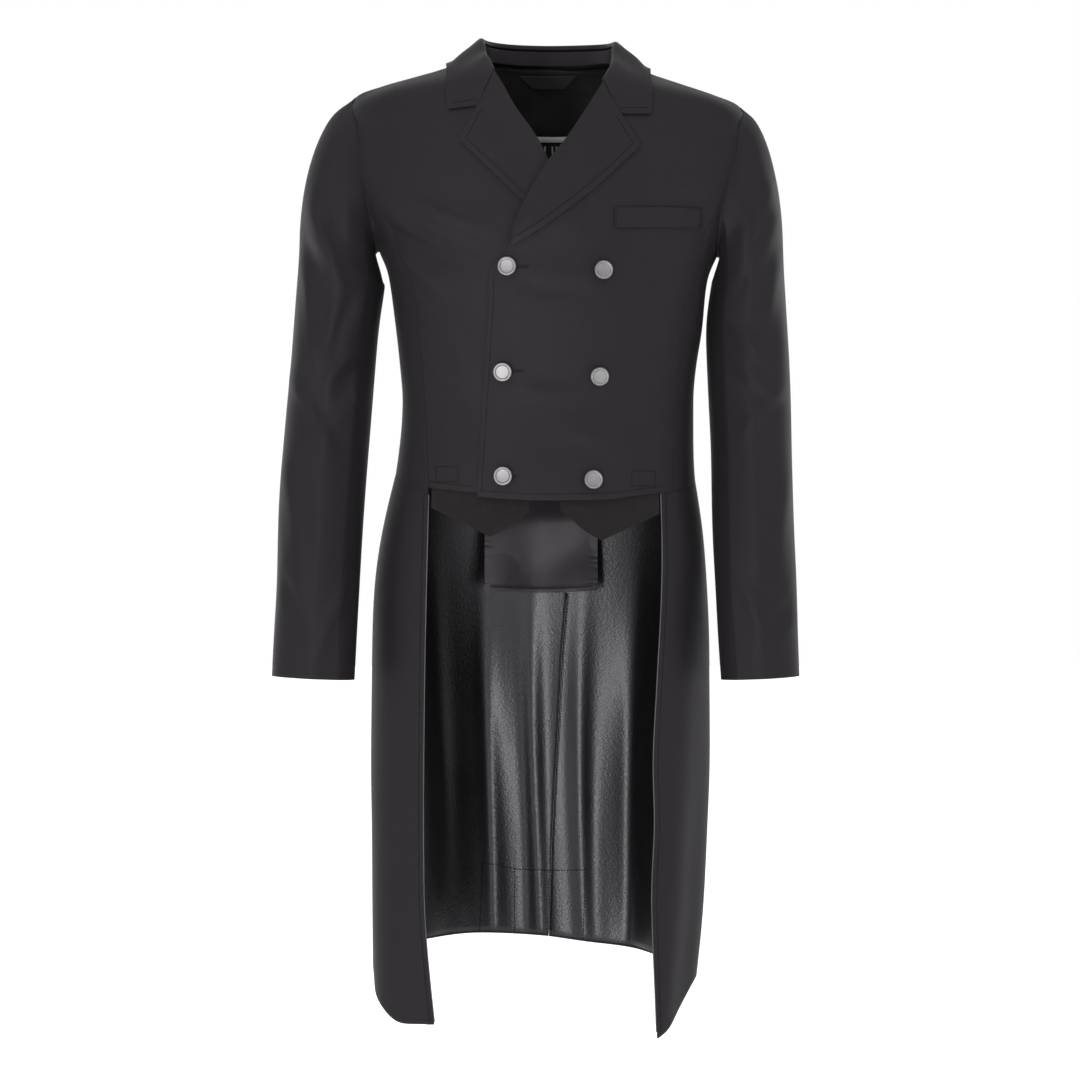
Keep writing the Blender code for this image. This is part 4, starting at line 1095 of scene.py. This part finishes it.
def ribbon(name: str, line: np.ndarray, normals: np.ndarray, width: float, thick: float,
           material: Material, slot: str, crown: float = 0.0) -> Object:
    """A narrow band of cloth along a line.

    Args:
        name: The band's name.
        line: Its middle, one row a point.
        normals: The way its outer side looks at each point.
        width: From edge to edge.
        thick: From outer to inner side.
        material: Its finish.
        slot: The record's material slot.
        crown: How far its middle stands proud of its edges.

    Returns:
        The band, as a closed wall.
    """
    across = unit(np.cross(normals, heading(line)))
    shares = np.array([-0.5, -0.3, 0.0, 0.3, 0.5])
    rises = thick + crown * (1 - (2 * shares) ** 2)
    inner = line[:, None] + across[:, None] * (shares * width)[None, :, None]
    outer = inner + normals[:, None] * rises[None, :, None]
    rows, columns = inner.shape[:2]
    count = rows * columns
    index = np.arange(count).reshape(rows, columns)
    faces = []
    for i in range(rows - 1):
        for j in range(columns - 1):
            a, b, c, d = index[i, j], index[i, j + 1], index[i + 1, j + 1], index[i + 1, j]
            faces += [(a, b, c, d), (a + count, d + count, c + count, b + count)]
    border = [*index[0, :-1], *index[:-1, -1], *index[-1, :0:-1], *index[:0:-1, 0]]
    faces += [(b, a, a + count, b + count) for a, b in zip(border, border[1:] + border[:1])]
    run = np.concatenate([[0.0], np.cumsum(np.linalg.norm(np.diff(line, axis=0), axis=1))])
    flat = np.stack(np.broadcast_arrays((shares * width)[None, :], run[:, None]), axis=-1).reshape(-1, 2)
    obj = closed_piece(name, np.concatenate([outer.reshape(-1, 3), inner.reshape(-1, 3)]), faces, material,
                       np.concatenate([flat, flat]))
    smooth(obj, 50)
    return hand_over(obj, slot)


def cord(name: str, line: np.ndarray, radius: float, material: Material, slot: str, closed: bool,
         sides: int = 10) -> Object:
    """A round cord of cloth.

    Args:
        name: The cord's name.
        line: Its middle line.
        radius: Its radius.
        material: Its finish.
        slot: The record's material slot.
        closed: Whether the line joins up end to start.
        sides: Faces round it.

    Returns:
        The cord.
    """
    along = unit(np.roll(line, -1, axis=0) - np.roll(line, 1, axis=0)) if closed else heading(line)
    across = unit(np.cross(along, unit(line - line.mean(axis=0))))
    out = np.cross(across, along)
    angle = 2 * math.pi * np.arange(sides) / sides
    rings = line[:, None] + radius * (out[:, None] * np.cos(angle)[None, :, None]
                                      + across[:, None] * np.sin(angle)[None, :, None])
    count = len(line)
    faces = [] if closed else [range(sides), range((count - 1) * sides, count * sides)]
    for i in range(count if closed else count - 1):
        here, there = i * sides, (i + 1) % count * sides
        for k in range(sides):
            after = (k + 1) % sides
            faces.append((here + k, here + after, there + after, there + k))
    row, column = np.divmod(np.arange(count * sides), sides)
    flat = np.stack([column * radius, row * radius * 2], axis=-1)
    return hand_over(closed_piece(name, rings.reshape(-1, 3), faces, material, flat), slot)


@dataclass
class Shell:
    """The coat's outer trunk: fronts, sides and backs, with their hems and front edge stitched."""

    finishes: Finishes
    stitching: Stitching = Stitching()
    edge_inset: float = 0.0052
    hem_inset: float = 0.0066
    cuts: tuple[Cut, ...] = (
        Cut("front_left", (0.325, 0.500), 0.1063), Cut("front_right", (0.316, 0.500), 0.1042),
        Cut("side_left", (0.198, 0.345), 0.0464), Cut("side_right", (0.211, 0.345), 0.0491),
        Cut("back_left", (0.260, 0.470), 0.0771), Cut("back_right", (0.265, 0.470), 0.0837))
    front_edge: tuple[Point, ...] = (
        (-0.0610, -0.130, -0.2300), (-0.0690, -0.120, -0.3620), (-0.0750, -0.120, -0.4600))
    front_hem: tuple[Point, ...] = (
        (-0.0700, -0.120, -0.4690), (0.0400, -0.120, -0.4690), (0.1180, -0.080, -0.4580))
    under_hem: tuple[Point, ...] = ((-0.1230, -0.080, -0.4530), (-0.0850, -0.110, -0.4600))
    pieces: dict[str, Piece] = field(default_factory=dict)

    def build(self) -> None:
        """Lays the cloth and sews its edges."""
        for cut in self.cuts:
            form = BodyForm(Face.FRONT if cut.node.startswith("front") else Face.BACK)
            self.pieces[cut.node] = Piece(cut, Lay(form, self.finishes.twill, "twill", COAT_CREASES))
        left, right = self.pieces["front_left"], self.pieces["front_right"]
        rows = [self.stitching.beside(f"{name}_stitches", piece, marks, inset, self.finishes.thread)
                for name, piece, marks, inset in (("front_edge", left, self.front_edge, self.edge_inset),
                                                  ("front_hem", left, self.front_hem, self.hem_inset),
                                                  ("under_hem", right, self.under_hem, self.hem_inset))]
        left.declare("side_left_cloth", "back_left_cloth", sewn=rows[:2])
        right.declare("side_right_cloth", "back_right_cloth", sewn=rows[2:])
        for side in Side:
            self.pieces["side_" + side.word].declare(f"back_{side.word}_cloth")
            self.pieces["back_" + side.word].declare(f"side_{side.word}_cloth")


@dataclass
class Sleeves:
    """Two-piece sleeves, with the rolled seam that joins each to its armhole."""

    finishes: Finishes
    shell: Shell
    roll_radius: float = 0.0032
    roll_depth: float = 0.0030
    roll_steps: int = 72
    reach: float = 0.0080
    cuts: dict[Side, tuple[Cut, Cut]] = per_side(
        (Cut("sleeve_top_right", (0.290, 0.650), 0.1208), Cut("sleeve_under_right", (0.135, 0.505), 0.0563)),
        (Cut("sleeve_top_left", (0.280, 0.650), 0.1144), Cut("sleeve_under_left", (0.130, 0.505), 0.0551)))

    def build(self) -> None:
        """Lays both halves of both sleeves."""
        for side, cuts in self.cuts.items():
            lay = Lay(SleeveForm(side), self.finishes.twill, "twill", SLEEVE_CREASES[side])
            halves = [Piece(cut, lay) for cut in cuts]
            for half in halves:
                half.declare(f"front_{side.word}_cloth", f"back_{side.word}_cloth")
            self._roll(side, halves)

    def _roll(self, side: Side, halves: Sequence[Piece]) -> None:
        """The seam roll inside an armhole, along every stretch where the sleeve meets the trunk.

        Args:
            side: The wearer's side.
            halves: The sleeve's two pieces.
        """
        trunk = [self.shell.pieces[f"{part}_{side.word}"] for part in ("front", "side", "back")]
        seams = []
        for half in halves:
            for index in half.rim.roads[Sheet.OUTER]:
                spot = half.rim.points[index]
                hits = [part.tree.find_nearest(Vector(spot)) for part in trunk]
                near = min(hits, key=lambda hit: hit[3])
                if near[3] < self.reach:
                    seams.append((spot + np.array(near[0])) / 2)
        seams = np.array(seams)
        middle = seams.mean(axis=0)
        turns = np.arctan2(seams[:, 1] - middle[1], seams[:, 2] - middle[2])
        order = np.argsort(turns)
        steps = np.linspace(-math.pi, math.pi, self.roll_steps + 1)[:-1]
        ring = np.stack([np.interp(steps, turns[order], seams[order, axis], period=2 * math.pi)
                         for axis in range(3)], axis=-1)
        for _ in range(2):
            ring = (np.roll(ring, 1, axis=0) + 2 * ring + np.roll(ring, -1, axis=0)) / 4
        inward = unit((middle - ring) * np.array([0.0, 1.0, 1.0]))
        cord(f"armhole_roll_{side.word}", ring + inward * self.roll_depth, self.roll_radius,
             self.finishes.twill, "twill", True)


@dataclass
class CollarAndLapels:
    """The notched collar, its stand and the two lapels, the collar and lapels edge-stitched."""

    finishes: Finishes
    stitching: Stitching = Stitching()
    inset: float = 0.0070
    collar: Cut = Cut("collar", (0.480, 0.085), 0.0338, 0.0020)
    stand: Cut = Cut("collar_stand", (0.270, 0.024), 0.0056, 0.0015, 2)
    lapels: dict[Side, Cut] = per_side(
        Cut("lapel_right", (0.105, 0.190), 0.0091, 0.0024), Cut("lapel_left", (0.115, 0.215), 0.0100, 0.0024))
    lapel_marks: dict[Side, tuple[Point, ...]] = per_side(
        ((-0.0762, -0.100, -0.0484), (-0.0951, -0.105, -0.0841), (-0.0240, -0.130, -0.1539),
         (0.0060, -0.132, -0.1800)),
        ((0.0784, -0.100, -0.0570), (0.0984, -0.105, -0.0900), (0.0077, -0.130, -0.1717),
         (-0.0380, -0.132, -0.1990)))
    collar_marks: tuple[Point, ...] = (
        (-0.0762, -0.095, -0.0484), (-0.1062, -0.090, -0.0504), (-0.1090, -0.030, -0.0100),
        (-0.0950, 0.080, -0.0080), (0.0000, 0.100, -0.0135), (0.0950, 0.080, -0.0110),
        (0.1095, -0.030, -0.0160), (0.1100, -0.085, -0.0555), (0.0784, -0.095, -0.0570))

    def build(self) -> None:
        """Lays the collar over the neck and the lapels over the fronts."""
        behind = Lay(BodyForm(Face.BACK), self.finishes.twill, "twill")
        before = Lay(BodyForm(Face.FRONT), self.finishes.twill, "twill", COAT_CREASES)
        self._edge_stitched(self.collar, behind, self.collar_marks, "collar_stand_cloth")
        Piece(self.stand, behind).declare("back_left_cloth", "back_right_cloth")
        for side, cut in self.lapels.items():
            self._edge_stitched(cut, before, self.lapel_marks[side], f"front_{side.word}_cloth")

    def _edge_stitched(self, cut: Cut, lay: Lay, marks: Sequence[Point], rests_on: str) -> None:
        """A piece with a row of stitches inside its border.

        Args:
            cut: The piece's cut.
            lay: How it is laid.
            marks: Places near the stitched border, in order.
            rests_on: The piece that it is sewn to.
        """
        piece = Piece(cut, lay)
        row = self.stitching.beside(f"{cut.node}_stitches", piece, marks, self.inset, self.finishes.thread)
        piece.declare(rests_on, sewn=[row])


@dataclass
class Tails:
    """The long tails, their leather linings, the piping on their front edges, whose light grey is painted
    highlight on a shiny black edge, and the hem pockets.
    """

    finishes: Finishes
    stitching: Stitching = Stitching(pitch=0.0034, length=0.0026)
    lining_stitching: Stitching = Stitching(pitch=0.0034, length=0.0028, radius=0.00052)
    seam_welt: float = 0.0013
    seam_half_gap: float = 0.0022
    piping_width: float = 0.0012
    edge_inset: float = 0.0048
    waist_roll: float = 0.0009
    waist_roll_points: int = 120
    wave_period: float = 0.055
    wave_start: float = 0.012
    wave_depth: float = 0.0060
    hem_drop: float = 0.0064
    shells: dict[Side, Cut] = per_side(
        Cut("tail_right", (0.424, 0.610), 0.2086), Cut("tail_left", (0.355, 0.620), 0.1809))
    linings: dict[Side, Cut] = per_side(
        Cut("tail_lining_right", (0.415, 0.595), 0.1994, 0.0010),
        Cut("tail_lining_left", (0.345, 0.600), 0.1725, 0.0010))
    tops: dict[Side, tuple[Point, ...]] = per_side(
        ((-0.1285, -0.095, -0.4550), (-0.1780, 0.0, -0.4520), (0.0160, 0.115, -0.4520)),
        ((0.1212, -0.095, -0.4550), (0.1720, 0.0, -0.4520), (0.0200, 0.115, -0.4520)))
    front_edges: dict[Side, tuple[Point, ...]] = per_side(
        ((-0.1300, -0.085, -0.4600), (-0.1342, -0.075, -0.7540), (-0.1230, -0.060, -1.0300)),
        ((0.1220, -0.085, -0.4600), (0.1130, -0.085, -0.7540), (0.1150, -0.075, -1.0480)))
    centre_seam: tuple[Spot, ...] = (
        (0.0219, -0.573), (0.0167, -0.6357), (0.0072, -0.8086), (0.0048, -0.8543), (0.0015, -0.962))
    pocket: tuple[tuple[Side, tuple[Spot, ...]], ...] = (
        (Side.RIGHT, ((-0.0745, -0.8800), (-0.0380, -0.8865), (0.0020, -0.8885))),
        (Side.LEFT, ((0.0060, -0.8880), (0.0430, -0.8870))),
        (Side.RIGHT, ((-0.0745, -0.8800), (-0.0775, -0.9560))),
        (Side.RIGHT, ((-0.0375, -0.8865), (-0.0378, -0.9600))),
        (Side.LEFT, ((0.0430, -0.8870), (0.0400, -0.9680))))

    def build(self) -> None:
        """Lays shells and linings, then pipes and stitches them."""
        linings = {side: self._tail(side) for side in Side}
        for side, lining in linings.items():
            shift = side.value * self.seam_half_gap
            line = lining.seen(straight(*((x + shift, z) for x, z in self.centre_seam)))
            self.lining_stitching.row(f"centre_seam_{side.word}_stitches", lining, line, self.finishes.thread)
        self._welt(linings)
        for number, (side, corners) in enumerate(self.pocket, start=1):
            line = linings[side].seen(straight(*corners))
            self.lining_stitching.row(f"hem_pocket_stitches_{number}", linings[side], line,
                                      self.finishes.thread)

    def _tail(self, side: Side) -> Piece:
        """One tail with its lining, piping, waist roll and front stitches.

        Args:
            side: The wearer's side.

        Returns:
            The lining.
        """
        shell = Piece(self.shells[side], Lay(BodyForm(), self.finishes.twill, "twill"))
        lining = Piece(self.linings[side], Lay(BodyForm(), self.finishes.leather, "leather_lining",
                                               shape=self._crumple))
        edge = spaced(shell.rim.line(self.front_edges[side], Sheet.INNER), 0.006)
        spots = shell.on_surface(edge)[0]
        # The piping ribbon is a real narrow edge; its light grey is painted highlight along the shiny black
        # leather edge.
        ribbon(f"tail_{side.word}_piping", spots, unit(np.array([-side.value, -0.9, 0.0]) + 0 * edge),
               self.piping_width, 0.0006, self.finishes.edging, "satin", crown=0.0004)
        top = [spaced(shell.rim.line(self.tops[side], sheet), 0.004) for sheet in Sheet]
        steps = [np.linspace(0, len(line) - 1, self.waist_roll_points) for line in top]
        both = [np.stack([np.interp(step, np.arange(len(line)), axis) for axis in line.T], axis=-1)
                for step, line in zip(steps, top)]
        cord(f"waist_roll_{side.word}", (both[0] + both[1]) / 2, self.waist_roll, self.finishes.twill,
             "twill", False)
        row = self.stitching.beside(f"tail_{side.word}_stitches", shell, self.front_edges[side],
                                    self.edge_inset, self.finishes.thread)
        shell.declare(f"side_{side.word}_cloth", f"back_{side.word}_cloth", sewn=[row])
        lining.declare(f"tail_{side.word}_cloth")
        return lining

    def _crumple(self, points: np.ndarray, outward: np.ndarray) -> np.ndarray:
        """Soft vertical waves in the leather, whose foot is let down to the shell's hem.

        Args:
            points: Places on the leather, one row each.
            outward: Its outward direction there.

        Returns:
            The places, moved.
        """
        x, z = points[:, 0], points[:, 2]
        behind = ramp(outward[:, 1], 0.45, 0.80)
        lean = x + 0.006 * np.sin(7 * z + 12 * x)
        phase = 2 * math.pi * (lean + self.wave_start) / self.wave_period
        wave = np.cos(phase + 0.55 * np.sin(phase))
        depth = self.wave_depth * ramp(z, -0.46, -0.80) * (0.8 + 0.2 * np.sin(34 * x + 2))
        moved = points - outward * (depth * (1.1 - wave) / 2 * behind)[:, None]
        moved[:, 2] -= self.hem_drop * ramp(z, -0.86, -0.94)
        return moved

    def _welt(self, linings: dict[Side, Piece]) -> None:
        """The raised seam where the linings meet.

        Args:
            linings: Each side's lining.
        """
        middle = []
        for x, z in straight(*self.centre_seam, step=0.006):
            rays = [lining.tree.ray_cast(Vector((x + side.value * self.seam_welt, -2.0, z)),
                                         Vector((0, 1, 0)))[0] for side, lining in linings.items()]
            hits = [ray for ray in rays if ray is not None and ray.y > 0]
            if hits:
                middle.append((x, sum(hit.y for hit in hits) / len(hits), z))
        cord("centre_seam_welt", np.array(middle), self.seam_welt, self.finishes.leather, "leather_lining",
             False)


@dataclass
class NeckLining:
    """What shows inside the neck: facing, lining, grey piping, raised pleats whose light grey is painted
    highlight on their ridges, and a plain label.
    """

    finishes: Finishes
    facing: Cut = Cut("neck_facing", (0.430, 0.100), 0.0381, 0.0010, 2, 0.0002)
    lining: Cut = Cut("back_lining", (0.460, 0.400), 0.1183, 0.0010, 2, 0.0002)
    label: Cut = Cut("neck_label", (0.067, 0.0140), 0.00085, 0.0005, 2, 0.0001)
    lining_top: tuple[Point, ...] = ((-0.160, 0.050, -0.062), (0.0, 0.100, -0.062), (0.160, 0.050, -0.062))
    piping_height: float = 0.0062
    piping_drop: float = 0.0040
    pleat_centres: tuple[float, ...] = (-0.0530, -0.0375, -0.0212, -0.0056, 0.0076, 0.0243, 0.0400, 0.0550)
    pleat_spread: float = 0.0024
    pleat_top: float = -0.0655
    pleat_foot: float = -0.150
    pleat_lean: float = 0.0015
    pleat_width: float = 0.0017

    def build(self) -> None:
        """Lays the linings and dresses them."""
        form = BodyForm()
        lay = Lay(form, self.finishes.lining, "lining")
        facing, lining = Piece(self.facing, lay), Piece(self.lining, lay)
        label = Piece(self.label, Lay(form, self.finishes.label, "lining"))
        facing.declare("back_left_cloth", "back_right_cloth")
        lining.declare("neck_facing_cloth")
        label.declare("neck_facing_cloth")
        border = spaced(lining.rim.line(self.lining_top, Sheet.INNER), 0.006)
        spots = lining.on_surface(border - np.array([0.0, 0.0, self.piping_drop]))[0]
        ribbon("neck_piping", spots, -form.outward(spots), self.piping_height, 0.0008,
               self.finishes.piping, "satin", crown=0.0010)
        # The pleat ribbons stand a little proud of the black lining; their light grey satin is painted
        # highlight on the pleat ridges.
        xs = [centre + sign * self.pleat_spread for centre in self.pleat_centres for sign in (-1, 1)]
        for number, x in enumerate(xs, start=1):
            spots = lining.seen(straight((x, self.pleat_top), (x + self.pleat_lean, self.pleat_foot),
                                         step=0.008))
            ribbon(f"lining_pleat_{number}", spots, -form.outward(spots), self.pleat_width, 0.0005,
                   self.finishes.piping, "satin", crown=0.0006)


@dataclass
class WaistPieces:
    """What hangs below the front hem: two felt points, and a satin flap behind them."""

    finishes: Finishes
    overlock: Stitching = Stitching(pitch=0.0024, length=0.0040, radius=0.00022)
    overlock_inset: float = 0.0022
    overlock_slant: float = 72.0
    points: dict[Side, Cut] = per_side(
        Cut("waist_point_right", (0.108, 0.080), 0.0065, 0.0015, 2),
        Cut("waist_point_left", (0.110, 0.085), 0.0070, 0.0015, 2))
    flap: Cut = Cut("lining_flap", (0.130, 0.141), 0.0182, 0.0010, 4, 0.0002)
    pucker: float = 0.0007
    pucker_count: float = 34.0
    pucker_reach: float = 0.0045
    billow: float = 0.0022
    hem_inset: float = 0.0075
    hem_width: float = 0.0062

    def build(self) -> None:
        """Lays the points and the flap, and overlocks the flap's sides."""
        for side, cut in self.points.items():
            lay = Lay(BodyForm(Face.FRONT), self.finishes.felt, "felt", COAT_CREASES)
            Piece(cut, lay).declare(f"front_{side.word}_cloth")
        flap = Piece(self.flap, Lay(BodyForm(), self.finishes.satin, "satin", shape=self._gather))
        low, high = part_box("lining_flap")
        rows = []
        for side, x in ((Side.RIGHT, low.x), (Side.LEFT, high.x)):
            marks = ((x, high.y, high.z - 0.03), (x, high.y, low.z + 0.004))
            rows.append(self.overlock.beside(f"flap_{side.word}_overlock", flap, marks, self.overlock_inset,
                                             self.finishes.edge_thread, Sheet.INNER, self.overlock_slant))
        marks = ((low.x, high.y, low.z + 0.003), (0.0, high.y, low.z), (high.x, high.y, low.z + 0.003))
        rows.append(Stitching().beside("flap_hem_stitches", flap, marks, self.hem_inset,
                                       self.finishes.thread, Sheet.INNER))
        hem = inside_line(flap, flap.rim.line(marks, Sheet.INNER), self.hem_width / 2)
        band, normals = flap.on_surface(spaced(hem, 0.003)[2:-2])
        rows.append(ribbon("flap_hem_band", band, normals, self.hem_width, 0.0003, self.finishes.satin,
                           "satin", crown=0.0007))
        flap.declare("back_lining_cloth", sewn=rows)

    def _gather(self, points: np.ndarray, _: np.ndarray) -> np.ndarray:
        """Puckers beside the flap's sewn sides and soft waves between them.

        Args:
            points: Places on the flap, one row each.

        Returns:
            The places, moved.
        """
        low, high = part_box("lining_flap")
        x, z = points[:, 0], points[:, 2]
        near = np.exp(-np.maximum(np.minimum(x - low.x, high.x - x), 0) / self.pucker_reach)
        share = (z - low.z) / (high.z - low.z)
        hang = ramp(share, 0.95, 0.55)
        beat = 2 * math.pi * self.pucker_count * share / 2 + 60 * x
        wave = np.sin(beat + 1.7 * np.sin(0.37 * beat + 30 * x)) * (0.6 + 0.4 * np.sin(0.23 * beat))
        broad = np.sin(48 * x + 1.2) + 0.6 * np.sin(62 * z - 25 * x)
        rise = self.pucker * near * wave + self.billow * broad * hang
        return points - np.array([0.0, 1.0, 0.0]) * np.maximum(rise + 0.002, 0)[:, None] * hang[:, None]


@dataclass
class Pockets:
    """The breast welt and the two stitched rectangles above the hem."""

    finishes: Finishes
    shell: Shell
    stitching: Stitching = Stitching(pitch=0.0026, length=0.0019)
    inset: float = 0.0020
    welt: Cut = Cut("breast_welt", (0.0975, 0.0262), 0.0025, levels=2)
    welt_slope: dict[Side, float] = per_side(0.0, 0.0040)
    rectangles: tuple[tuple[str, Spot, Spot], ...] = (
        ("front_right", (-0.1205, -0.4330), (-0.0965, -0.4490)),
        ("front_left", (0.0896, -0.4377), (0.1150, -0.4536)))

    def build(self) -> None:
        """Lays the welt and sews both rectangles."""
        welt = Piece(self.welt, Lay(BodyForm(Face.FRONT), self.finishes.twill, "twill", COAT_CREASES))
        rows = []
        low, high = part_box("breast_welt")
        for side, x in ((Side.RIGHT, low.x), (Side.LEFT, high.x)):
            marks = ((x, low.y, high.z - 0.001), (x, low.y, low.z + self.welt_slope[side]))
            rows.append(self.stitching.beside(f"welt_{side.word}_stitches", welt, marks, self.inset,
                                              self.finishes.thread))
        welt.declare("front_left_cloth", sewn=rows)
        for node, top, foot in self.rectangles:
            front = self.shell.pieces[node]
            corners = (top, (foot[0], top[1]), foot, (top[0], foot[1]), top)
            line = front.seen(straight(*corners, step=0.0013))
            self.stitching.row(f"{node}_rectangle_stitches", front, line, self.finishes.thread)


@dataclass
class Buttons:
    """Six plain rimmed metal shank buttons, and the buttonholes of the left column."""

    finishes: Finishes
    shell: Shell
    count: int = 6
    radius: float = 0.0102
    steps: int = 48
    smooth_under: float = 35.0
    profile: tuple[Spot, ...] = (
        (0.00, 0.0052), (0.34, 0.00535), (0.56, 0.0054), (0.66, 0.0055), (0.70, 0.0059), (0.76, 0.0065),
        (0.84, 0.0068), (0.92, 0.0066), (0.98, 0.0058), (1.00, 0.0048), (0.985, 0.0040), (0.90, 0.0034),
        (0.60, 0.0031), (0.36, 0.0030), (0.33, 0.0022), (0.33, 0.0000), (0.00, 0.0000))
    hole_sewing: Stitching = Stitching(pitch=0.0007, length=0.0013, radius=0.00024)
    hole_slant: float = 85.0
    hole_width: float = 0.0022
    holes: tuple[tuple[Spot, Spot], ...] = (
        ((-0.0322, -0.2219), (-0.0222, -0.2215)), ((-0.0368, -0.3318), (-0.0275, -0.3314)),
        ((-0.0362, -0.4440), (-0.0342, -0.4438)))

    def build(self) -> None:
        """Turns each button on its own axis and works the buttonholes."""
        for number in range(1, self.count + 1):
            self._button(f"button_{number}")
        for number, (start, end) in enumerate(self.holes, start=1):
            self._buttonhole(number, np.array(start), np.array(end))

    def _button(self, node: str) -> None:
        """Spins the button's profile round the axis of its solid.

        Args:
            node: The solid.
        """
        points = places(bpy.data.objects[node].data)
        middle = points.mean(axis=0)
        axis = np.linalg.svd(points - middle, full_matrices=False)[2][2]
        axis = axis * (-1 if axis[1] > 0 else 1)
        foot = middle + axis * ((points - middle) @ axis).min()
        across = unit(np.cross(axis, [0.0, 0.0, 1.0]))
        line = [tuple(foot + axis * height + across * share * self.radius) for share, height in self.profile]
        mesh = bpy.data.meshes.new(node + "_metal")
        mesh.from_pydata(line, [(i, i + 1) for i in range(len(line) - 1)], [])
        obj = link(node + "_metal", mesh, self.finishes.metal)
        with editing(obj):
            bpy.ops.mesh.spin(steps=self.steps, angle=2 * math.pi, center=tuple(foot), axis=tuple(axis))
            bpy.ops.mesh.select_all(action="SELECT")
            bpy.ops.mesh.remove_doubles(threshold=2e-5)
            bpy.ops.mesh.normals_make_consistent(inside=False)
        smooth(obj, self.smooth_under)
        hand_over(obj, "button_metal", node)

    def _buttonhole(self, number: int, first: np.ndarray, last: np.ndarray) -> None:
        """A slit worked all round with close stitches.

        Args:
            number: The buttonhole's number.
            first: Its start, as x and z.
            last: Its end.
        """
        front = self.shell.pieces["front_left"]
        along = (last - first) / np.linalg.norm(last - first)
        up = np.array([-along[1], along[0]]) * self.hole_width / 2
        loop = [first + up, last + up, last + along * self.hole_width / 2, last - up, first - up]
        line = front.seen(straight(*loop, step=self.hole_sewing.pitch))
        self.hole_sewing.row(f"buttonhole_{number}", front, line, self.finishes.thread, self.hole_slant,
                             resample=False)


@dataclass
class Studio:
    """Pale floor, soft light and the camera."""

    floor_z: float = -1.42
    floor_colours: tuple[Colour, Colour] = ((0.86, 0.86, 0.86), (0.90, 0.90, 0.90))
    floor_glow: float = 0.30
    floor_seen_glow: float = 0.75
    camera_place: Point = (-0.0088, -3.6, -0.5115)
    sensor: float = 36.0
    frame_width: float = 1.188
    light_aim: Point = (0.0, 0.0, -0.5)
    lights: tuple[tuple[str, Point, Spot, float], ...] = (
        ("key", (-1.5, -2.3, 1.9), (0.6, 0.8), 26.0), ("fill", (1.8, -2.3, 1.6), (0.6, 0.8), 24.0),
        ("side_right", (-2.4, -0.5, -0.2), (0.5, 2.2), 9.5),
        ("side_left", (2.4, -0.5, -0.2), (0.5, 2.2), 11.0),
        ("back_right", (-1.8, 1.8, 0.2), (0.8, 2.0), 9.5), ("back_left", (1.8, 1.8, 0.2), (0.8, 2.0), 12.0),
        ("low_right", (-0.8, -2.6, -0.95), (0.34, 1.4), 40.0),
        ("low_left", (1.0, -2.5, -0.9), (0.30, 1.2), 7.0))
    behind: Spot = (0.55, 0.92)
    above: Spot = (0.35, 0.95)
    dim: float = 0.14
    bright: float = 1.0

    def build(self) -> None:
        """Sets the camera, the lights, the world and the floor."""
        scene = bpy.context.scene
        scene.view_settings.view_transform = "Standard"
        data = bpy.data.cameras.new("camera")
        data.sensor_width = self.sensor
        data.lens = self.sensor * -self.camera_place[1] / self.frame_width
        camera = bpy.data.objects.new("camera", data)
        camera.location = self.camera_place
        camera.rotation_euler = (math.pi / 2, 0, 0)
        scene.collection.objects.link(camera)
        scene.camera = camera
        for light in self.lights:
            self._light(*light)
        scene.world = self._world()
        self._floor()

    def _world(self) -> World:
        """A white surround behind and above the coat, and a dimmer one before and below it."""
        bench = Bench(bpy.data.worlds.new("studio"), "Background")
        around = bench.add("TexCoord").outputs["Generated"]
        parts = bench.add("SeparateXYZ", {0: around}).outputs
        spans = [bench.span(parts[axis], self.dim, self.bright, *ends, interpolation_type="SMOOTHSTEP")
                 for axis, ends in (("Y", self.behind), ("Z", self.above))]
        return bench.dress(Color=(1.0, 1.0, 1.0, 1.0), Strength=bench.join("MAXIMUM", *spans))

    def _light(self, name: str, place: Point, size: Spot, power: float) -> None:
        """One softbox that looks at the middle of the coat.

        Args:
            name: Its name.
            place: Where it stands.
            size: Its width and height.
            power: Its power, in watts.
        """
        data = bpy.data.lights.new(name, "AREA")
        data.shape = "RECTANGLE"
        data.size, data.size_y = size
        data.energy = power
        lamp = bpy.data.objects.new(name, data)
        lamp.location = place
        aim = Vector(self.light_aim) - Vector(place)
        lamp.rotation_euler = aim.to_track_quat("-Z", "Y").to_euler()
        bpy.context.scene.collection.objects.link(lamp)

    def _floor(self) -> None:
        """A wide pale floor that looks white to the camera and shines less on the coat."""
        bpy.ops.object.select_all(action="DESELECT")
        bpy.ops.mesh.primitive_plane_add(size=40.0, location=(0.0, 0.0, self.floor_z))
        floor = bpy.context.active_object
        floor.name = "floor"
        bench = Bench(bpy.data.materials.new("pale_floor"))
        colour = bench.mix(*self.floor_colours, bench.noise(scale=3.0, detail=2.0))
        seen = bench.add("LightPath").outputs["Is Camera Ray"]
        glow = bench.span(seen, self.floor_glow, self.floor_seen_glow)
        floor.data.materials.append(bench.dress(Base_Color=colour, Roughness=0.9, Emission_Color=colour,
                                                Emission_Strength=glow))


def main() -> None:
    """Builds the coat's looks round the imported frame, in order, and reports each piece."""
    logging.basicConfig(level=logging.INFO, format="%(name)s %(message)s")
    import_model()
    Studio().build()
    finishes = Finishes()
    shell = Shell(finishes)
    for part in (shell, Sleeves(finishes, shell), CollarAndLapels(finishes), Tails(finishes),
                 NeckLining(finishes), WaistPieces(finishes), Pockets(finishes, shell),
                 Buttons(finishes, shell)):
        LOG.info("%s", type(part).__name__)
        part.build()


if __name__ == "__main__":
    main()
